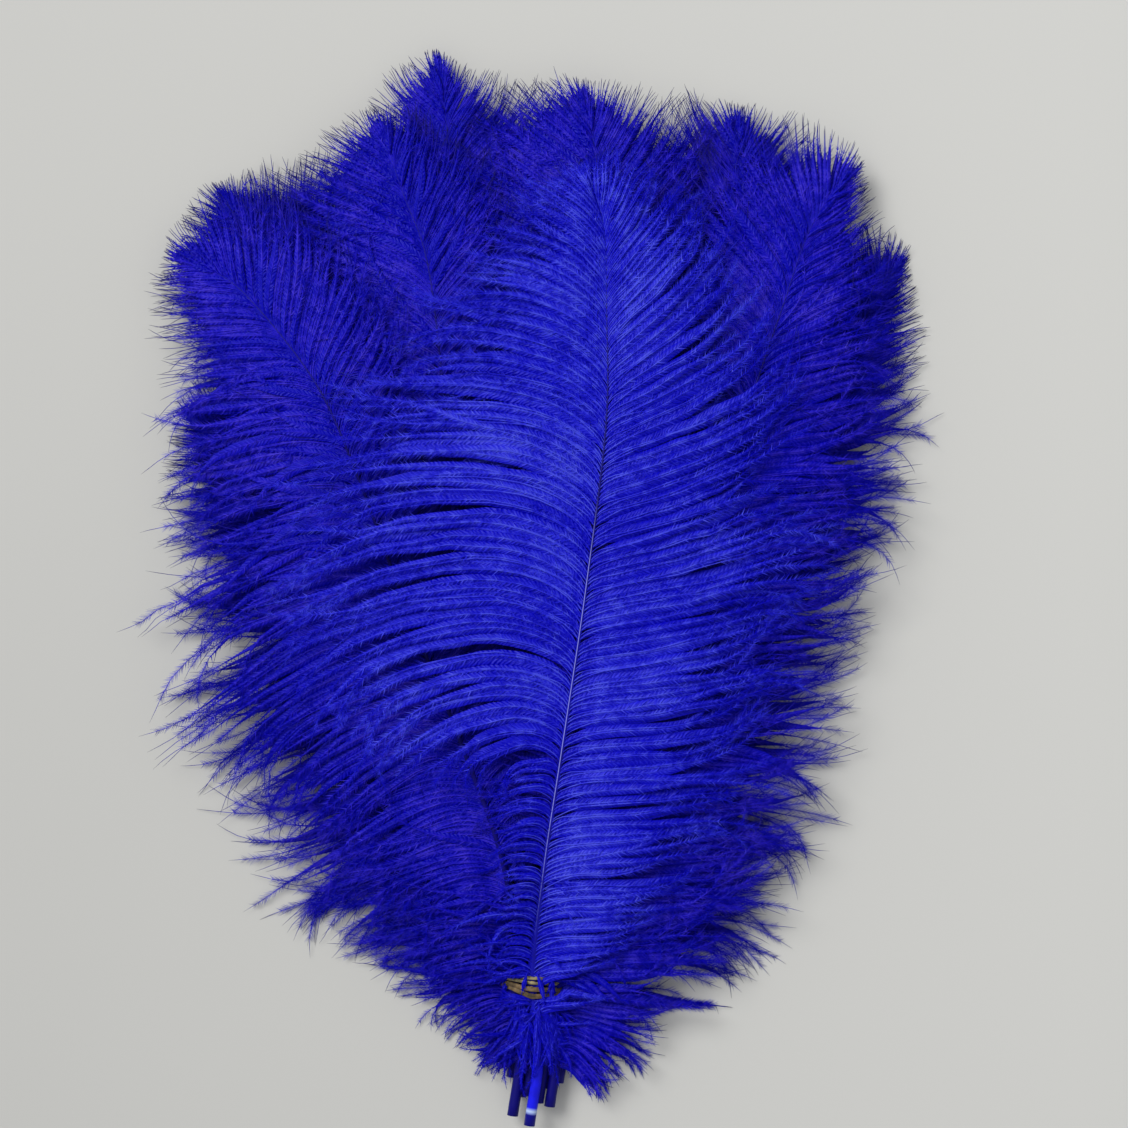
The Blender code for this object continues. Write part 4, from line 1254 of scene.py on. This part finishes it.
def rubber_group():
    """Dry old rubber: bleached and grimy patches with fine cracks across the strand."""
    group, given, result = new_group(
        "Old rubber",
        (("Rubber", "NodeSocketColor", (0.5, 0.4, 0.2, 1)),
         ("Grime", "NodeSocketColor", (0.05, 0.03, 0.01, 1))),
        (("Color", "NodeSocketColor"), ("Roughness", "NodeSocketFloat"), ("Height", "NodeSocketFloat")))
    nodes, links = group.nodes, group.links
    place = own_place(nodes)
    patches = noise_node(nodes, links, place, 380.0, 4.0)
    stretch = nodes.new("ShaderNodeMapping")
    stretch.inputs["Scale"].default_value = (2600.0, 500.0, 900.0)
    links.new(place, stretch.inputs["Vector"])
    links.new(noise_node(nodes, links, stretch.outputs["Vector"], 1.0), result["Height"])
    dirt = ramp_node(nodes, links, patches, ((0.42, 0.0), (0.66, 1.0)))
    links.new(mix_node(nodes, links, dirt, given["Rubber"], given["Grime"]), result["Color"])
    links.new(ramp_node(nodes, links, patches, ((0.3, 0.45), (0.7, 0.75))), result["Roughness"])
    return group


def rubber_material(name, colour, group):
    material, nodes, links, shader = new_material(name)
    old = group_node(nodes, links, group, {"Rubber": colour, "Grime": [c * 0.18 for c in colour]})
    links.new(old["Color"], shader.inputs["Base Color"])
    links.new(old["Roughness"], shader.inputs["Roughness"])
    bump_node(nodes, links, shader, old["Height"], 0.5, 0.15 * MM)
    return material


def floor_material(colour):
    """Pale stone table with a very faint mottle, and painted light that makes it paler towards the right.
    """
    material, nodes, links, shader = new_material("Pale table", 0.55)
    place = own_place(nodes)
    mottle = noise_node(nodes, links, place, 5.0, 6.0)
    mottled = mix_node(nodes, links, mottle, [c * 0.96 for c in colour], colour)
    axes = nodes.new("ShaderNodeSeparateXYZ")
    links.new(place, axes.inputs["Vector"])
    across = nodes.new("ShaderNodeMapRange")
    for label, source in (("From Min", -0.2), ("From Max", 0.2), ("Value", axes.outputs["X"])):
        feed(links, across.inputs[label], source)
    # painted light: the table is coloured paler towards the right
    painted_light_colour = [min(c * 1.22, 1.0) for c in colour]
    links.new(mix_node(nodes, links, across.outputs["Result"], mottled, painted_light_colour), shader.inputs["Base Color"])
    return material


# --- stage ---------------------------------------------------------------------------------------

PHOTO_MIDDLE = (6.84 * MM, 5.76 * MM)
PICTURE_LEVEL = 10.0 * MM
FLOOR_SIDE = 4.0


def add_area_light(name, place, aim, power, side, colour):
    data = bpy.data.lights.new(name, "AREA")
    data.energy = power
    data.size = side
    data.color = colour
    light = bpy.data.objects.new(name, data)
    light.location = place
    light.rotation_euler = (Vector(aim) - Vector(place)).to_track_quat("-Z", "Y").to_euler()
    bpy.context.scene.collection.objects.link(light)


def add_camera(stage):
    data = bpy.data.cameras.new("camera")
    data.sensor_width = 36.0
    data.lens = data.sensor_width * (stage.camera_height - PICTURE_LEVEL) / stage.view_width
    camera = bpy.data.objects.new("camera", data)
    camera.location = (PHOTO_MIDDLE[0] + SHIFT_X, PHOTO_MIDDLE[1] + SHIFT_Y, stage.camera_height)
    bpy.context.scene.collection.objects.link(camera)
    bpy.context.scene.camera = camera


def add_floor(stage):
    bpy.ops.mesh.primitive_plane_add(size=FLOOR_SIDE)
    floor = bpy.context.object
    floor.name = "table"
    floor.data.materials.append(floor_material(stage.floor))


# --- operators -----------------------------------------------------------------------------------


class FEATHER_OT_shafts(bpy.types.Operator):
    """Grow the quill and shaft of every plume"""

    bl_idname = "feather.grow_shafts"
    bl_label = "Grow shafts"

    def execute(self, context):
        finish = context.scene.feather_finish
        group = dye_group()
        top = shaft_material(finish, group, True)
        lower = shaft_material(finish, group, False)
        for plume in PLUMES:
            grow_shaft(plume, top if plume is MAIN else lower)
        return {"FINISHED"}


class FEATHER_OT_barbs(bpy.types.Operator):
    """Grow the barbs and barbules of every plume"""

    bl_idname = "feather.grow_barbs"
    bl_label = "Grow barbs"

    def execute(self, context):
        group = bpy.data.node_groups["Uneven dye and painted light"]
        top, lower = (barb_material(context.scene.feather_finish, group, mark) for mark in (True, False))
        for plume in PLUMES:
            for side in (LEFT, RIGHT):
                grow_vane(plume, side, context.scene.feather_barbs, top if plume is MAIN else lower)
        return {"FINISHED"}


class FEATHER_OT_bands(bpy.types.Operator):
    """Wind the two rubber bands round the quills"""

    bl_idname = "feather.wind_bands"
    bl_label = "Wind rubber bands"

    def execute(self, context):
        finish = context.scene.feather_finish
        group = rubber_group()
        colours = {"pale_rubber": finish.pale_rubber, "brown_rubber": finish.brown_rubber}
        for band in BANDS:
            name = band.slot.replace("_", " ").capitalize()
            make_band(band, rubber_material(name, colours[band.slot], group))
        return {"FINISHED"}


class FEATHER_OT_stage(bpy.types.Operator):
    """Set up the table, the soft light and the camera above it"""

    bl_idname = "feather.set_stage"
    bl_label = "Set stage"

    def execute(self, context):
        stage = context.scene.feather_stage
        add_floor(stage)
        add_camera(stage)
        add_area_light("window", (-1.7, 1.5, 2.6), (0, 0, 0), stage.key_power, 1.6, (1.0, 0.99, 0.97))
        world = bpy.data.worlds.new("room")
        world.use_nodes = True
        world.node_tree.nodes["Background"].inputs["Color"].default_value = (0.97, 0.98, 1.0, 1.0)
        world.node_tree.nodes["Background"].inputs["Strength"].default_value = stage.sky
        context.scene.world = world
        context.scene.view_settings.view_transform = "Standard"
        return {"FINISHED"}


class FEATHER_PT_bundle(bpy.types.Panel):
    """Sizes, colours and steps of the feather bundle"""

    bl_label = "Feather bundle"
    bl_idname = "FEATHER_PT_bundle"
    bl_space_type = "VIEW_3D"
    bl_region_type = "UI"
    bl_category = "Feathers"

    def draw(self, context):
        layout = self.layout
        steps = ((FEATHER_OT_shafts, None), (FEATHER_OT_barbs, "feather_barbs"),
                 (FEATHER_OT_bands, "feather_finish"), (FEATHER_OT_stage, "feather_stage"))
        for operator, group in steps:
            box = layout.box()
            if group:
                settings = getattr(context.scene, group)
                for name in settings.bl_rna.properties.keys():
                    if name not in {"rna_type", "name"}:
                        box.prop(settings, name)
            box.operator(operator.bl_idname)


CLASSES = (BarbSettings, FinishSettings, StageSettings, FEATHER_OT_shafts, FEATHER_OT_barbs,
           FEATHER_OT_bands, FEATHER_OT_stage, FEATHER_PT_bundle)


def register():
    for cls in CLASSES:
        bpy.utils.register_class(cls)
    bpy.types.Scene.feather_barbs = bpy.props.PointerProperty(type=BarbSettings)
    bpy.types.Scene.feather_finish = bpy.props.PointerProperty(type=FinishSettings)
    bpy.types.Scene.feather_stage = bpy.props.PointerProperty(type=StageSettings)


def unregister():
    del bpy.types.Scene.feather_stage
    del bpy.types.Scene.feather_finish
    del bpy.types.Scene.feather_barbs
    for cls in reversed(CLASSES):
        bpy.utils.unregister_class(cls)


def main():
    register()
    bpy.ops.feather.grow_shafts()
    bpy.ops.feather.grow_barbs()
    bpy.ops.feather.wind_bands()
    bpy.ops.feather.set_stage()
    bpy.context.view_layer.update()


if __name__ == "__main__":
    main()
